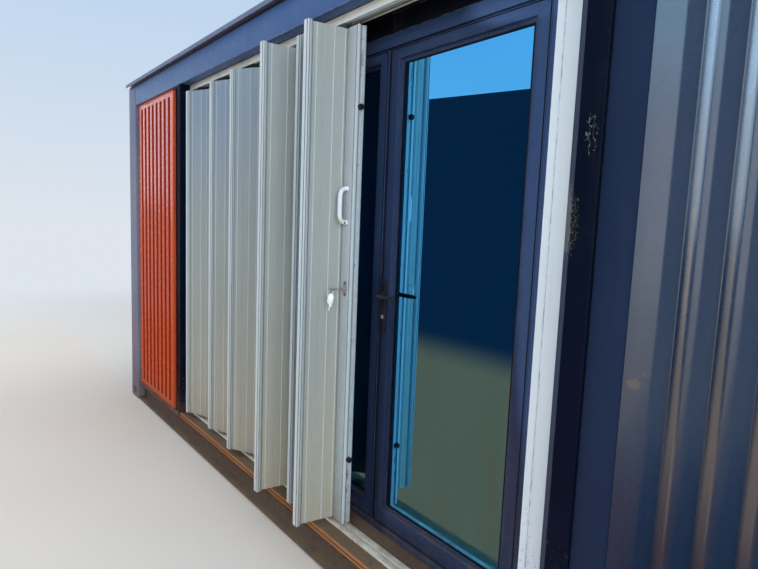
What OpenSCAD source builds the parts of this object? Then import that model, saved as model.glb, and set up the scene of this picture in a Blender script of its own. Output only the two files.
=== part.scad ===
// Shipping container cabin: a corrugated steel box with a wide front opening,
// a folded accordion shutter, a glazed double door and a small bay with a ribbed panel.
// Plan coordinates inside the modules: x from the left end, y behind the front plane, z above the ground.

/* [Cabin] */
// Length of the cabin
cabin_l = 6058; // [5000:1:12200]
// Width of the cabin, front to back
cabin_w = 2438; // [2000:1:3000]
// Height of the cabin with the roof ribs
cabin_h = 2591; // [2500:1:2900]

/* [Corner frame] */
// Length of a corner post along the front
post_l = 178; // [120:1:220]
// Depth of a corner post
post_w = 162; // [110:1:200]
// Height of the corner fitting at the foot of each post
fitting_h = 118; // [90:1:140]
// Radius of the post's outer edges
post_edge_r = 6; // [2:0.5:12]
// Length of the oval hole in a corner fitting
fitting_hole_l = 79; // [50:1:90]
// Height of the oval hole in a corner fitting
fitting_hole_h = 51; // [30:1:60]
// Depth of the oval hole in a corner fitting
fitting_hole_d = 34; // [10:1:60]

/* [Base] */
// Top of the bottom rails above the ground
base_top = 148; // [130:1:160]
// Height of the bottom rails above the ground
base_lift = 12; // [8:1:25]
// Depth of the bottom rail channels
base_d = 60; // [40:1:70]
// Wall thickness of the bottom rail channels
base_t = 8; // [4:1:10]
// Thickness of the floor deck and height of the sill on the bottom rails
floor_h = 36; // [28:1:52]
// Number of cross members under the floor
joist_n = 11; // [8:1:14]
// Width of a cross member
joist_w = 45; // [30:1:60]
// Wall thickness of a cross member
joist_t = 6; // [4:1:10]
// Height of a cross member
joist_h = 122; // [90:1:130]
// Thickness of the sill's front edge
sill_t = 20; // [12:1:30]
// Distance that the sill's core lies behind its front edge
sill_back = 14; // [5:1:30]

/* [Roof] */
// Height of the roof with its ribs above the top rails
roof_h = 51; // [45:1:60]
// Height of the top rails
rail_h = 146; // [110:1:180]
// Thickness of the top rails, front to back
rail_t = 60; // [40:1:80]
// Height of the roof edge lip
lip_h = 25; // [15:1:35]
// Distance that the roof edge lip stands out of the front
lip_out = 33; // [20:1:60]
// Sheet thickness of the roof edge lip
lip_t = 5; // [2:1:8]
// Distance from the roof's ends to the cabin's ends
roof_inset = 40; // [10:1:80]
// Distance between roof ribs
roof_pitch = 209; // [150:1:300]
// Width of a roof rib's crest
roof_crest = 91; // [50:1:120]
// Width of a roof rib's slope
roof_slope = 14; // [6:1:30]
// Height of a roof rib
roof_rib_h = 20; // [10:1:30]
// Thickness of the ceiling panel
ceiling_t = 100; // [40:1:110]

/* [Corrugated walls] */
// Distance between wall corrugations
wall_pitch = 85; // [70:1:120]
// Width of a corrugation's crest
wall_crest = 24; // [16:1:40]
// Width of a corrugation's slope
wall_slope = 29; // [8:1:29]
// Depth of a corrugation
wall_rib_d = 18; // [8:1:30]
// Thickness of a wall from its crests to its inner face
wall_t = 54; // [45:1:80]
// Distance from the front plane to the wall's crests
wall_set = 6; // [0:1:10]
// Flat strip between the right door post and the first corrugation
wall_lead = 173; // [120:1:250]
// Width of the plain bar between the right door post and the corrugated sheet
wall_bar_l = 103; // [60:1:110]
// Distance from the corrugations' crests back to the plain bar
wall_bar_set = 4; // [1:1:8]
// Shortest flat strip at a wall's ends
wall_edge = 20; // [15:1:60]

/* [Bay with the ribbed panel] */
// Width of the ribbed panel
panel_l = 800; // [700:1:900]
// Gap between the corner post and the ribbed panel
panel_gap = 22; // [10:1:40]
// Thickness of the ribbed panel
panel_t = 20; // [12:1:30]
// Distance from the front plane to the ribbed panel
panel_set = 18; // [5:1:40]
// Number of grooves in the ribbed panel
groove_n = 8; // [6:1:8]
// Distance between grooves
groove_pitch = 90; // [80:1:95]
// Width of a groove at the face
groove_w = 46; // [30:1:60]
// Width of a groove at its bottom
groove_floor_w = 26; // [10:1:28]
// Depth of a groove
groove_d = 14; // [6:1:16]
// Flat border above and below the grooves
panel_border = 43; // [20:1:80]
// Thickness of the wall behind the ribbed panel
bay_wall_t = 60; // [30:1:80]

/* [Front opening] */
// Distance between the left corner post and the left door post
bay_l = 959; // [900:1:1000]
// Width of the left door post
left_post_l = 54; // [40:1:70]
// Width of the opening between the door posts
opening_l = 2880; // [2700:1:3000]
// Width of the right door post
right_post_l = 84; // [60:1:120]
// Depth of the door posts
door_post_d = 120; // [80:1:140]
// Thickness of the side reveals behind the door posts
reveal_t = 20; // [10:1:30]
// Thickness of the soffit over the opening
soffit_t = 20; // [10:1:30]

/* [Glazed doors] */
// Distance from the front plane to the door frame
door_y = 205; // [190:1:230]
// Depth of the door frame
frame_d = 50; // [46:1:70]
// Width of the door frame's profiles
frame_b = 75; // [50:1:90]
// Height of the door frame's threshold
threshold_h = 24; // [15:1:30]
// Distance from the door frame to the top rails
head_gap = 79; // [60:1:110]
// Height of the door frame's head
frame_head_h = 52; // [40:1:60]
// Width of the insulated filler at each side of the door frame
filler_l = 150; // [100:1:180]
// Width of a door's place in the frame
leaf_bay = 776; // [740:1:800]
// Thickness of a door leaf
leaf_t = 45; // [38:1:46]
// Gap round a door leaf
leaf_gap = 5; // [5:0.5:6]
// Gap under a door leaf
leaf_lift = 8; // [6:1:15]
// Width of a leaf's stiles
stile_b = 70; // [56:1:100]
// Height of a leaf's top rail
top_rail_b = 60; // [50:1:100]
// Height of a leaf's bottom rail
bottom_rail_b = 88; // [60:1:120]
// Width of the glazing beads
bead_b = 14; // [8:1:20]
// Depth of the glazing beads behind the leaf's face
bead_d = 14; // [3:1:16]
// Thickness of the glass units
glass_t = 16; // [6:1:24]
// Distance from a leaf's outer face to its glass
glass_set = 20; // [16:1:24]

/* [Door hinges and lever] */
// Number of hinges on a leaf
hinge_n = 3; // [3:1:4]
// Height of a hinge
hinge_h = 100; // [80:1:130]
// Outer radius of a hinge barrel
barrel_r = 6; // [5:0.5:7]
// Radius of a hinge pin
pin_r = 3; // [2:0.5:4]
// Distance from the leaf's inner face to the hinge pin
pin_off = 8; // [8:0.5:9]
// Width of a hinge plate
hinge_plate_b = 34; // [20:1:45]
// Thickness of a hinge plate
hinge_plate_t = 4; // [3:0.5:5]
// Distance from the leaf's ends to the outer hinges
hinge_inset = 160; // [100:1:300]
// Running gap round pins and spindles
run_gap = 0.3; // [0.2:0.1:0.5]
// Gap between hinge barrels
barrel_gap = 1; // [0.5:0.5:2]
// Height of the lever's spindle above the ground
lever_z = 1238; // [1100:1:1300]
// Height of the key cylinder above the ground
cylinder_z = 1146; // [1080:1:1180]
// Width of a lever plate
plate_b = 34; // [28:1:40]
// Height of a lever plate
plate_h = 242; // [200:1:260]
// Thickness of a lever plate
plate_t = 8; // [5:1:12]
// Middle of the lever plate above the ground
plate_z = 1190; // [1150:1:1200]
// Distance from the leaf's edge to the plate's middle
plate_inset = 19; // [18:1:40]
// Radius of the lever's spindle
spindle_r = 4; // [3:0.5:6]
// Radius of the lever's neck
neck_r = 9; // [7:0.5:12]
// Length of the lever's neck
neck_l = 38; // [25:1:50]
// Length of the lever's grip
grip_l = 112; // [80:1:130]
// Radius of the lever's grip
grip_r = 8; // [6:0.5:10]

/* [Accordion shutter] */
// Length of a blade between its pivots
blade_w = 195; // [190:1:205]
// Sheet thickness of a blade
blade_t = 3; // [2:0.5:4]
// Gap between the bottom track and the blades
blade_low = 19; // [8:1:30]
// Gap between the blades and the top track
blade_high = 25; // [15:1:35]
// Distances of a blade's ribs from its outer fold
blade_ribs = [40, 66, 76, 117, 166];
// Width of a blade's ribs
blade_rib_b = 5; // [3:0.5:10]
// Height of a blade's ribs
blade_rib_h = 2; // [1:0.5:3]
// Radius of the outer fold posts
outer_r = 18; // [16:0.5:18]
// Distance from an outer fold's pivot to its flat nose
nose_l = 10; // [8:0.5:14]
// Width and depth of the grooves in an outer fold post
nose_groove_b = 3; // [2:0.5:4]
// Radius of the inner fold posts
inner_r = 9; // [7:0.5:10]
// Clearance between blades and fold posts
fold_gap = 0.2; // [0.1:0.1:0.3]
// Distance from the front plane to the tracks' slot
track_y = 95; // [94:1:96]
// Width of the tracks
track_b = 60; // [58:1:64]
// Height of the top track
track_h = 34; // [30:1:38]
// Sheet thickness of the top track
track_t = 3; // [2:0.5:4]
// Width of the top track's slot
track_slot = 12; // [10:1:14]
// Height of the bottom track
guide_h = 12; // [8:1:16]
// Floor thickness of the bottom track
guide_t = 3; // [2:0.5:4]
// Width of the bottom track's slot
guide_slot = 8; // [7:1:10]
// Radius of the fold posts' guide pins
guide_pin_r = 3; // [2:0.5:3.5]
// Radius of the hanging rollers
roller_r = 12; // [9:1:14]
// Thickness of the hanging rollers
roller_h = 9; // [6:1:12]
// Distance from the opening's left edge to the first outer fold
first_fold = 92; // [87:1:97]
// Half angles between the blades at the outer folds, from the left
fold_angles = [67.38, 70.22, 60.67, 62.2, 8.85, 53.87, 9.59];
// Width of the closing post
closer_l = 70; // [60:1:80]
// Depth of the closing post
closer_d = 41; // [36:1:46]
// Distance from the tracks' slot to the closing post's front
closer_front = 25; // [22:1:26]
// Width of the grooves in the closing post
closer_groove = 4; // [2:1:6]
// Width of the lock recess in the closing post's edge
closer_recess = 17; // [10:1:22]
// Width of the white channel at the right of the opening
channel_l = 114; // [110:1:130]
// Wall thickness of the white channel
channel_t = 4; // [3:1:6]
// Depth of the white channel's pocket for the closing post
pocket_l = 60; // [40:1:80]
// Place of the seam in the white channel's face
seam_x = 26; // [20:1:40]
// Width of the seam
seam_b = 2; // [1:0.5:3]
// Width of the left shutter jamb
jamb_l = 36; // [30:1:37]

/* [Shutter fittings] */
// Radius of the round bumpers on the closing post
bumper_r = 11; // [8:0.5:14]
// Length of the round bumpers
bumper_l = 13; // [8:1:18]
// Distance from the closing post's foot to the lower bumper
bumper_low = 295; // [200:1:500]
// Distance from the closing post's top to the upper bumper
bumper_high = 321; // [200:1:500]
// Height of the handle's lower foot above the ground
handle_low = 1535; // [1400:1:1600]
// Distance between the handle's feet
handle_h = 155; // [120:1:200]
// Distance that the handle stands out
handle_out = 42; // [30:1:55]
// Radius of the handle's grip
handle_r = 8; // [6:0.5:10]
// Radius of the handle's bends
handle_bend = 22; // [16:1:30]
// Distance from the closing post's left edge to the handle
handle_x = 24; // [16:1:40]
// Height of the lock above the ground
lock_z = 1262; // [1200:1:1300]
// Radius of the lock's round body
lock_r = 11; // [8:0.5:14]
// Distance that the lock's body stands out
lock_out = 14; // [8:1:25]
// Distance that the key rod stands out
lock_arm_l = 80; // [60:1:110]
// Radius of the key rod
lock_arm_r = 3; // [2:0.5:5]
// Radius of the key ring
key_ring_r = 13; // [9:1:16]
// Wire radius of the key ring
key_wire_r = 1.2; // [1:0.1:2]
// Length of a key
key_l = 52; // [40:1:60]
// Radius of a key's bow
key_bow_r = 11; // [8:0.5:13]
// Thickness of a key
key_t = 2; // [1.5:0.5:3]
// Angle that the keys spread at the ring
key_spread = 14; // [5:1:30]

/* [Hidden] */
$fn = 48;
// Plan places derived from the driving sizes
fold_reach = blade_w * cos(min(fold_angles)) + nose_l - track_y;
front_y = -(cabin_w + lip_out - fold_reach) / 2;
left_post_x = post_l + bay_l;
opening_x = left_post_x + left_post_l;
right_post_x = opening_x + opening_l;
wall_in = wall_set + wall_t;
// Heights derived from the driving sizes
floor_top = base_top + floor_h;
rail_top = cabin_h - roof_h;
head_z = rail_top - rail_h;
frame_top = head_z - head_gap;
blade_bottom = floor_top + guide_h + blade_low;
blade_top = head_z - track_h - blade_high;
// Door and frame places
frame_x = opening_x + filler_l;
frame_l = opening_l - 2 * filler_l;
door_end = frame_x + frame_l - frame_b;
door_mid = door_end - leaf_bay;
door_x = door_mid - leaf_bay;
leaf_z = floor_top + threshold_h + leaf_lift;
leaf_h = frame_top - frame_head_h - leaf_gap - leaf_z;
leaf_l = door_mid - leaf_gap - door_x - leaf_gap;
leaf_y = door_y + frame_d - leaf_t;
pin_y = door_y + frame_d + pin_off;
light_z = leaf_z + bottom_rail_b;
light_h = leaf_h - bottom_rail_b - top_rail_b;
light_l = leaf_l - 2 * stile_b;
lever_x = door_mid + leaf_gap + plate_inset;
wall_h = head_z - base_top;
hinge_zs = [for (i = [0 : hinge_n - 1])
  leaf_z + hinge_inset + i * (leaf_h - 2 * hinge_inset - hinge_h) / (hinge_n - 1)];
// Each outer fold lies half a blade pair before its inner fold, which hangs in the track
function half_pair(i) = blade_w * sin(fold_angles[i]);
function outer_x(i) = i == 0 ? opening_x + first_fold : outer_x(i - 1) + half_pair(i - 1) + half_pair(i);
fold_last = len(fold_angles) - 1;
outer_folds = [for (i = [0 : fold_last]) [outer_x(i), track_y - blade_w * cos(fold_angles[i])]];
inner_folds = [for (i = [0 : fold_last]) [outer_x(i) + half_pair(i), track_y]];
jamb_fold = [opening_x + jamb_l + inner_r + fold_gap, track_y];
track_front = track_y - track_b / 2;
closer_x = inner_folds[fold_last][0] + inner_r + fold_gap;
closer_y = track_y - closer_front;

// Places a child in the model's frame
module placed() {
  translate([-cabin_l / 2, front_y, 0]) children();
}

// Turns a front side drawing to the back of the cabin
module to_back() {
  translate([cabin_l, cabin_w, 0]) rotate(180) children();
}

// Turns a side drawing to the left end
module to_left() {
  translate([0, cabin_w, 0]) rotate(-90) children();
}

// Turns a side drawing to the right end
module to_right() {
  translate([cabin_l, 0, 0]) rotate(90) children();
}

// Extrudes a profile drawn in y and z along x
module along_x(length) {
  rotate([90, 0, 90]) linear_extrude(length) children();
}

// Extrudes a profile drawn in x and z along y
module along_y(length) {
  translate([0, length, 0]) rotate([90, 0, 0]) linear_extrude(length) children();
}

// Rectangle with round corners
module round_rect(size, r) {
  translate([r, 0]) square([size[0] - 2 * r, size[1]]);
  translate([0, r]) square([size[0], size[1] - 2 * r]);
  for (x = [r, size[0] - r])
    for (y = [r, size[1] - r])
      translate([x, y]) circle(r);
}

// Oval of the corner fitting's hole, centred
module oval(length, height) {
  square([length - height, height], center = true);
  for (s = [-1, 1])
    translate([s * (length - height) / 2, 0]) circle(height / 2);
}

// Corner post with its fitting, drawn for the front left corner
module corner_post() {
  difference() {
    union() {
      translate([0, 0, fitting_h])
        linear_extrude(rail_top - fitting_h) round_rect([post_l, post_w], post_edge_r);
      linear_extrude(fitting_h) square([post_l, post_w]);
    }
    translate([post_l / 2, -1, fitting_h / 2])
      along_y(fitting_hole_d + 1) oval(fitting_hole_l, fitting_hole_h);
    translate([-1, post_w / 2, fitting_h / 2])
      along_x(fitting_hole_d + 1) oval(fitting_hole_l, fitting_hole_h);
  }
}

// Bottom rail channel with its flanges outwards
module bottom_rail(run, end) {
  translate([end, 0, base_lift])
    along_x(run - 2 * end)
      difference() {
        square([base_d, base_top - base_lift]);
        translate([-1, base_t]) square([base_d - base_t + 1, base_top - base_lift - 2 * base_t]);
      }
}

// Top rail between two corner posts
module top_rail(run, end) {
  translate([end, 0, head_z])
    along_x(run - 2 * end) square([rail_t, rail_top - head_z]);
}

// Corrugated wall with a flat inner face, from x = 0 along its length, with a plain bar at its start
module corrugated(length, lead, count, bar = 0) {
  points = [for (i = [0 : count - 1]) each [
    [lead + i * wall_pitch, 0],
    [lead + i * wall_pitch + wall_slope, wall_rib_d],
    [lead + (i + 1) * wall_pitch - wall_crest - wall_slope, wall_rib_d],
    [lead + (i + 1) * wall_pitch - wall_crest, 0]
  ]];
  linear_extrude(wall_h)
    polygon(concat(
      bar > 0 ? [[0, wall_bar_set], [bar, wall_bar_set], [bar, 0]] : [[0, 0]],
      points, [[length, 0], [length, wall_t], [0, wall_t]]
    ));
}

// Corrugated wall centred between two corner posts
module full_wall(run, end) {
  length = run - 2 * end;
  count = floor((length - 2 * wall_edge + wall_crest) / wall_pitch);
  lead = (length - count * wall_pitch + wall_crest) / 2;
  translate([end, wall_set, base_top]) corrugated(length, lead, count);
}

// Profile of the grooves in the ribbed panel
module panel_grooves() {
  first = (panel_l - (groove_n - 1) * groove_pitch) / 2;
  for (i = [0 : groove_n - 1])
    translate([first + i * groove_pitch, 0])
      polygon([
        [-groove_w / 2 - 1, -1], [groove_w / 2 + 1, -1],
        [groove_floor_w / 2, groove_d], [-groove_floor_w / 2, groove_d]
      ]);
}

// Cuts plates to leave the four corner posts clear
module corner_cuts() {
  for (x = [-1, cabin_l - post_l])
    for (y = [-1, cabin_w - post_w])
      translate([x, y]) square([post_l + 1, post_w + 1]);
}

// Door leaf ring with stepped glazing beads, from its lower left corner
module leaf_ring() {
  difference() {
    cube([leaf_l, leaf_t, leaf_h]);
    translate([stile_b, -1, bottom_rail_b]) cube([light_l, leaf_t + 2, light_h]);
    translate([stile_b - bead_b, -1, bottom_rail_b - bead_b])
      cube([light_l + 2 * bead_b, bead_d + 1, light_h + 2 * bead_b]);
  }
}

// Hinge plate from the pin towards a leaf or jamb, from its own bottom
module hinge_plate(height, side) {
  translate([side > 0 ? 0 : -hinge_plate_b, -pin_off, 0])
    cube([hinge_plate_b, hinge_plate_t, height]);
}

// Hinge barrel with its web to the plate
module barrel(height) {
  cylinder(h = height, r = barrel_r);
  translate([-hinge_plate_t / 2, -pin_off, 0]) cube([hinge_plate_t, pin_off, height]);
}

// Frame half of a hinge: two barrels, the pin and a plate
module fixed_hinge(side) {
  third = hinge_h / 3;
  for (z = [0, 2 * third])
    translate([0, 0, z]) {
      barrel(third);
      hinge_plate(third, side);
    }
  cylinder(h = hinge_h, r = pin_r);
}

// Leaf half of a hinge: the middle barrel with its plate
module moving_hinge(side) {
  third = hinge_h / 3;
  translate([0, 0, third + barrel_gap])
    difference() {
      union() {
        barrel(third - 2 * barrel_gap);
        hinge_plate(third - 2 * barrel_gap, side);
      }
      translate([0, 0, -1]) cylinder(h = third + 2, r = pin_r + run_gap);
    }
}

// Bore along y
module bore_y(r, length) {
  translate([0, -1, 0]) rotate([-90, 0, 0]) cylinder(h = length + 2, r = r);
}

// Lever grip on its neck, standing out towards -y from y = 0
module lever_half() {
  translate([0, -neck_l, 0]) rotate([-90, 0, 0]) cylinder(h = neck_l, r = neck_r);
  translate([0, -neck_l + grip_r / 2, 0]) rotate([0, 90, 0]) cylinder(h = grip_l - grip_r, r = grip_r);
  translate([grip_l - grip_r, -neck_l + grip_r / 2, 0]) sphere(grip_r);
  translate([0, -neck_l + grip_r / 2, 0]) sphere(neck_r);
}

// Lever plate with the key cylinder's end and the spindle bore, on a face at y = 0
module lever_plate() {
  difference() {
    union() {
      translate([-plate_b / 2, -plate_t, plate_z - plate_h / 2])
        along_y(plate_t) round_rect([plate_b, plate_h], plate_b / 4);
      translate([0, -plate_t - 3, cylinder_z]) rotate([-90, 0, 0]) cylinder(h = 4, r = neck_r);
    }
    translate([0, -plate_t, lever_z]) bore_y(spindle_r + run_gap, plate_t);
  }
}

// Straight blade drawn between two pivots, with ribs on its outside
module blade_profile(from, to, side) {
  run = norm(to - from);
  angle = atan2(to[1] - from[1], to[0] - from[0]);
  difference() {
    translate(from)
      rotate(angle) {
        translate([0, -blade_t / 2]) square([run, blade_t]);
        for (x = blade_ribs)
          if (x + blade_rib_b / 2 < run - inner_r)
            translate([x - blade_rib_b / 2, side > 0 ? 0 : -blade_t / 2 - blade_rib_h])
              square([blade_rib_b, blade_t / 2 + blade_rib_h]);
      }
    translate(from) circle(outer_r + fold_gap);
    translate(to) circle(inner_r + fold_gap);
  }
}

// Flat nosed post of an outer fold
module outer_post_profile() {
  difference() {
    circle(outer_r);
    translate([-outer_r - 1, -outer_r - 1]) square([2 * outer_r + 2, outer_r + 1 - nose_l]);
    for (s = [-1, 1])
      translate([s * outer_r / 3 - nose_groove_b / 2, -nose_l - 1]) square([nose_groove_b, 1 + nose_groove_b]);
  }
}

// Guide pin, roller and top pin of a fold post
module hangers() {
  translate([0, 0, floor_top + guide_t])
    cylinder(h = blade_bottom - floor_top - guide_t, r = guide_pin_r);
  translate([0, 0, blade_top])
    cylinder(h = head_z - track_h + track_t - blade_top + 1, r = guide_pin_r);
  translate([0, 0, head_z - track_h + track_t]) cylinder(h = roller_h, r = roller_r);
}

module corner_front_left() { color("#3b4560") placed() corner_post(); }

module corner_front_right() {
  color("#3b4560") placed() translate([cabin_l, 0, 0]) mirror([1, 0, 0]) corner_post();
}

module corner_back_left() {
  color("#3b4560") placed() translate([0, cabin_w, 0]) mirror([0, 1, 0]) corner_post();
}

module corner_back_right() { color("#3b4560") placed() to_back() corner_post(); }

module bottom_rail_front() { color("#2d3242") placed() bottom_rail(cabin_l, post_l); }

module bottom_rail_back() { color("#2d3242") placed() to_back() bottom_rail(cabin_l, post_l); }

module bottom_rail_left() { color("#2d3242") placed() to_left() bottom_rail(cabin_w, post_w); }

module bottom_rail_right() { color("#2d3242") placed() to_right() bottom_rail(cabin_w, post_w); }

module top_rail_front() { color("#4a5780") placed() top_rail(cabin_l, post_l); }

module top_rail_back() { color("#4a5780") placed() to_back() top_rail(cabin_l, post_l); }

module top_rail_left() { color("#4a5780") placed() to_left() top_rail(cabin_w, post_w); }

module top_rail_right() { color("#4a5780") placed() to_right() top_rail(cabin_w, post_w); }

// Cross members: channels between the front and back bottom rails
module floor_joists() {
  span = cabin_l - 2 * post_l;
  pitch = span / (joist_n + 1);
  color("#2d3242") placed()
    for (i = [1 : joist_n])
      translate([post_l + i * pitch - joist_w / 2, base_d, base_top - joist_h])
        along_y(cabin_w - 2 * base_d)
          difference() {
            square([joist_w, joist_h]);
            translate([joist_t, joist_t]) square([joist_w, joist_h - 2 * joist_t]);
          }
}

module floor_deck() {
  color("#7a6048") placed()
    translate([0, 0, base_top])
      linear_extrude(floor_h)
        difference() {
          translate([wall_in, wall_in]) square([cabin_l - 2 * wall_in, cabin_w - 2 * wall_in]);
          corner_cuts();
          translate([opening_x, -1]) square([opening_l, door_y + 1]);
          translate([post_l, -1]) square([bay_l, panel_set + panel_t + bay_wall_t + 1]);
          translate([left_post_x, -1]) square([left_post_l, door_post_d + 1]);
          translate([right_post_x, -1]) square([right_post_l, door_post_d + 1]);
        }
}

// Sill across the opening, with a core set back under its front edge
module sill_plate() {
  color("#7c6a5c") placed()
    translate([opening_x, 0, 0])
      along_x(opening_l)
        union() {
          translate([0, floor_top - sill_t]) square([door_y, sill_t]);
          translate([sill_back, base_top]) square([door_y - sill_back, floor_h - 1]);
        }
}

module ceiling_panel() {
  color("#c9c8c2") placed()
    translate([0, 0, rail_top - ceiling_t])
      linear_extrude(ceiling_t)
        difference() {
          translate([rail_t, rail_t]) square([cabin_l - 2 * rail_t, cabin_w - 2 * rail_t]);
          corner_cuts();
        }
}

// Roof: cross ribs and a folded edge lip at the front and back
module roof_panel() {
  length = cabin_l - 2 * roof_inset;
  count = floor((length - 2 * wall_edge) / roof_pitch);
  lead = (length - count * roof_pitch) / 2;
  floor_z = roof_h - roof_rib_h;
  gap = roof_pitch - roof_crest - 2 * roof_slope;
  points = [for (i = [0 : count - 1]) each [
    [lead + i * roof_pitch + gap / 2, floor_z],
    [lead + i * roof_pitch + gap / 2 + roof_slope, roof_h],
    [lead + i * roof_pitch + gap / 2 + roof_slope + roof_crest, roof_h],
    [lead + (i + 1) * roof_pitch - gap / 2, floor_z]
  ]];
  color("#4a5780") placed() {
    translate([roof_inset, 0, rail_top])
      along_y(cabin_w) polygon(concat([[0, 0], [0, floor_z]], points, [[length, floor_z], [length, 0]]));
    translate([roof_inset, -lip_out, rail_top]) along_x(length) lip_profile();
    to_back() translate([roof_inset, -lip_out, rail_top]) along_x(length) lip_profile();
  }
}

module lip_profile() {
  translate([0, lip_h - lip_t]) square([lip_out + 1, lip_t]);
  square([lip_t, lip_h]);
}

module front_wall() {
  start = right_post_x + right_post_l;
  length = cabin_l - post_l - start;
  count = floor((length - wall_lead - wall_edge + wall_crest) / wall_pitch);
  color("#333a4e") placed()
    translate([start, wall_set, base_top]) corrugated(length, wall_lead, count, wall_bar_l);
}

module back_wall() { color("#333a4e") placed() to_back() full_wall(cabin_l, post_l); }

module left_wall() { color("#333a4e") placed() to_left() full_wall(cabin_w, post_w); }

module right_wall() { color("#333a4e") placed() to_right() full_wall(cabin_w, post_w); }

module bay_wall() {
  color("#1c202c") placed()
    translate([post_l, panel_set + panel_t, base_top])
      cube([bay_l, bay_wall_t, wall_h]);
}

// Pressed panel with upright grooves that stop short of its top and bottom
module ribbed_panel() {
  color("#b8432f") placed()
    translate([post_l + panel_gap, panel_set, base_top])
      difference() {
        cube([panel_l, panel_t, wall_h]);
        translate([0, 0, panel_border]) linear_extrude(wall_h - 2 * panel_border) panel_grooves();
      }
}

// Door post with the reveal board behind it, drawn with the opening at its right
module door_post(width) {
  linear_extrude(wall_h) round_rect([width, door_post_d], post_edge_r);
  translate([width - reveal_t, door_post_d - post_edge_r, floor_h])
    linear_extrude(wall_h - floor_h)
      square([reveal_t, door_y + frame_d - door_post_d + post_edge_r]);
}

module left_door_post() {
  color("#3b4560") placed() translate([left_post_x, 0, base_top]) door_post(left_post_l);
}

module right_door_post() {
  color("#3b4560") placed()
    translate([right_post_x + right_post_l, 0, base_top]) mirror([1, 0, 0]) door_post(right_post_l);
}

// Fillers round the door frame and the soffit over the opening
module door_surround() {
  color("#262b3a") placed() {
    for (x = [opening_x, right_post_x - filler_l])
      translate([x, door_y, floor_top]) cube([filler_l, frame_d, head_z - floor_top]);
    translate([opening_x, door_y, frame_top]) cube([opening_l, frame_d, head_z - frame_top]);
    translate([opening_x, rail_t, head_z]) cube([opening_l, door_y + frame_d - rail_t, soffit_t]);
  }
}

// Door frame with its mullion, hinge halves and pins
module door_frame() {
  top = frame_top - frame_head_h;
  color("#2b3040") placed() {
    difference() {
      translate([frame_x, door_y, floor_top]) cube([frame_l, frame_d, frame_top - floor_top]);
      translate([frame_x + frame_b, door_y - 1, floor_top + threshold_h])
        cube([door_x - frame_x - 2 * frame_b, frame_d + 2, top - floor_top - threshold_h]);
      translate([door_x, door_y - 1, floor_top + threshold_h])
        cube([door_end - door_x, frame_d + 2, top - floor_top - threshold_h]);
    }
    for (z = hinge_zs) {
      translate([door_x + leaf_gap / 2, pin_y, z]) fixed_hinge(-1);
      translate([door_end - leaf_gap / 2, pin_y, z]) fixed_hinge(1);
    }
  }
}

module fixed_glass() {
  color("#5a7f9c", 0.5) placed()
    translate([frame_x + frame_b, leaf_y + glass_set, floor_top + threshold_h])
      cube([door_x - frame_x - 2 * frame_b, glass_t, frame_top - frame_head_h - floor_top - threshold_h]);
}

module left_leaf() {
  color("#2b3040") placed() {
    translate([door_x + leaf_gap, leaf_y, leaf_z]) leaf_ring();
    for (z = hinge_zs)
      translate([door_x + leaf_gap / 2, pin_y, z]) moving_hinge(1);
  }
}

module left_leaf_glass() {
  color("#5a7f9c", 0.5) placed()
    translate([door_x + leaf_gap + stile_b, leaf_y + glass_set, light_z])
      cube([light_l, glass_t, light_h]);
}

module right_leaf() {
  color("#2b3040") placed() {
    difference() {
      translate([door_mid + leaf_gap, leaf_y, leaf_z]) leaf_ring();
      translate([lever_x, leaf_y, lever_z]) bore_y(spindle_r + run_gap, leaf_t);
    }
    for (z = hinge_zs)
      translate([door_end - leaf_gap / 2, pin_y, z]) moving_hinge(-1);
  }
}

module right_leaf_glass() {
  color("#5a7f9c", 0.5) placed()
    translate([door_mid + leaf_gap + stile_b, leaf_y + glass_set, light_z])
      cube([light_l, glass_t, light_h]);
}

module lever_plates() {
  color("#17181c") placed() {
    translate([lever_x, leaf_y, 0]) lever_plate();
    translate([lever_x, leaf_y + leaf_t, 0]) mirror([0, 1, 0]) lever_plate();
  }
}

// Lever: one grip outside, one inside, on one spindle
module door_lever() {
  reach = plate_t + barrel_gap / 2;
  color("#17181c") placed()
    translate([lever_x, 0, lever_z]) {
      translate([0, leaf_y - reach, 0]) lever_half();
      translate([0, leaf_y + leaf_t + reach, 0]) mirror([0, 1, 0]) lever_half();
      translate([0, leaf_y - reach - 1, 0])
        rotate([-90, 0, 0]) cylinder(h = leaf_t + 2 * reach + 2, r = spindle_r);
    }
}

// Track above the shutter: a box open by a slot along its underside
module shutter_top_track() {
  color("#d8d5cb") placed()
    translate([opening_x, track_front, head_z - track_h])
      along_x(opening_l)
        difference() {
          square([track_b, track_h]);
          translate([track_t, track_t]) square([track_b - 2 * track_t, track_h - 2 * track_t]);
          translate([track_y - track_front - track_slot / 2, -1]) square([track_slot, track_t + 2]);
        }
}

module shutter_bottom_track() {
  color("#d8d5cb") placed()
    translate([opening_x, track_front, floor_top])
      along_x(opening_l)
        difference() {
          square([track_b, guide_h]);
          translate([track_y - track_front - guide_slot / 2, guide_t]) square([guide_slot, guide_h]);
        }
}

module shutter_left_jamb() {
  bottom = floor_top + guide_h;
  color("#d8d5cb") placed()
    translate([opening_x, track_front, bottom])
      linear_extrude(head_z - track_h - bottom)
        difference() {
          square([jamb_l, track_b]);
          translate([channel_t, channel_t]) square([jamb_l, (track_b - inner_r) / 2 - channel_t]);
          translate([channel_t, (track_b + inner_r) / 2])
            square([jamb_l, (track_b - inner_r) / 2 - channel_t]);
        }
}

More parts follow.
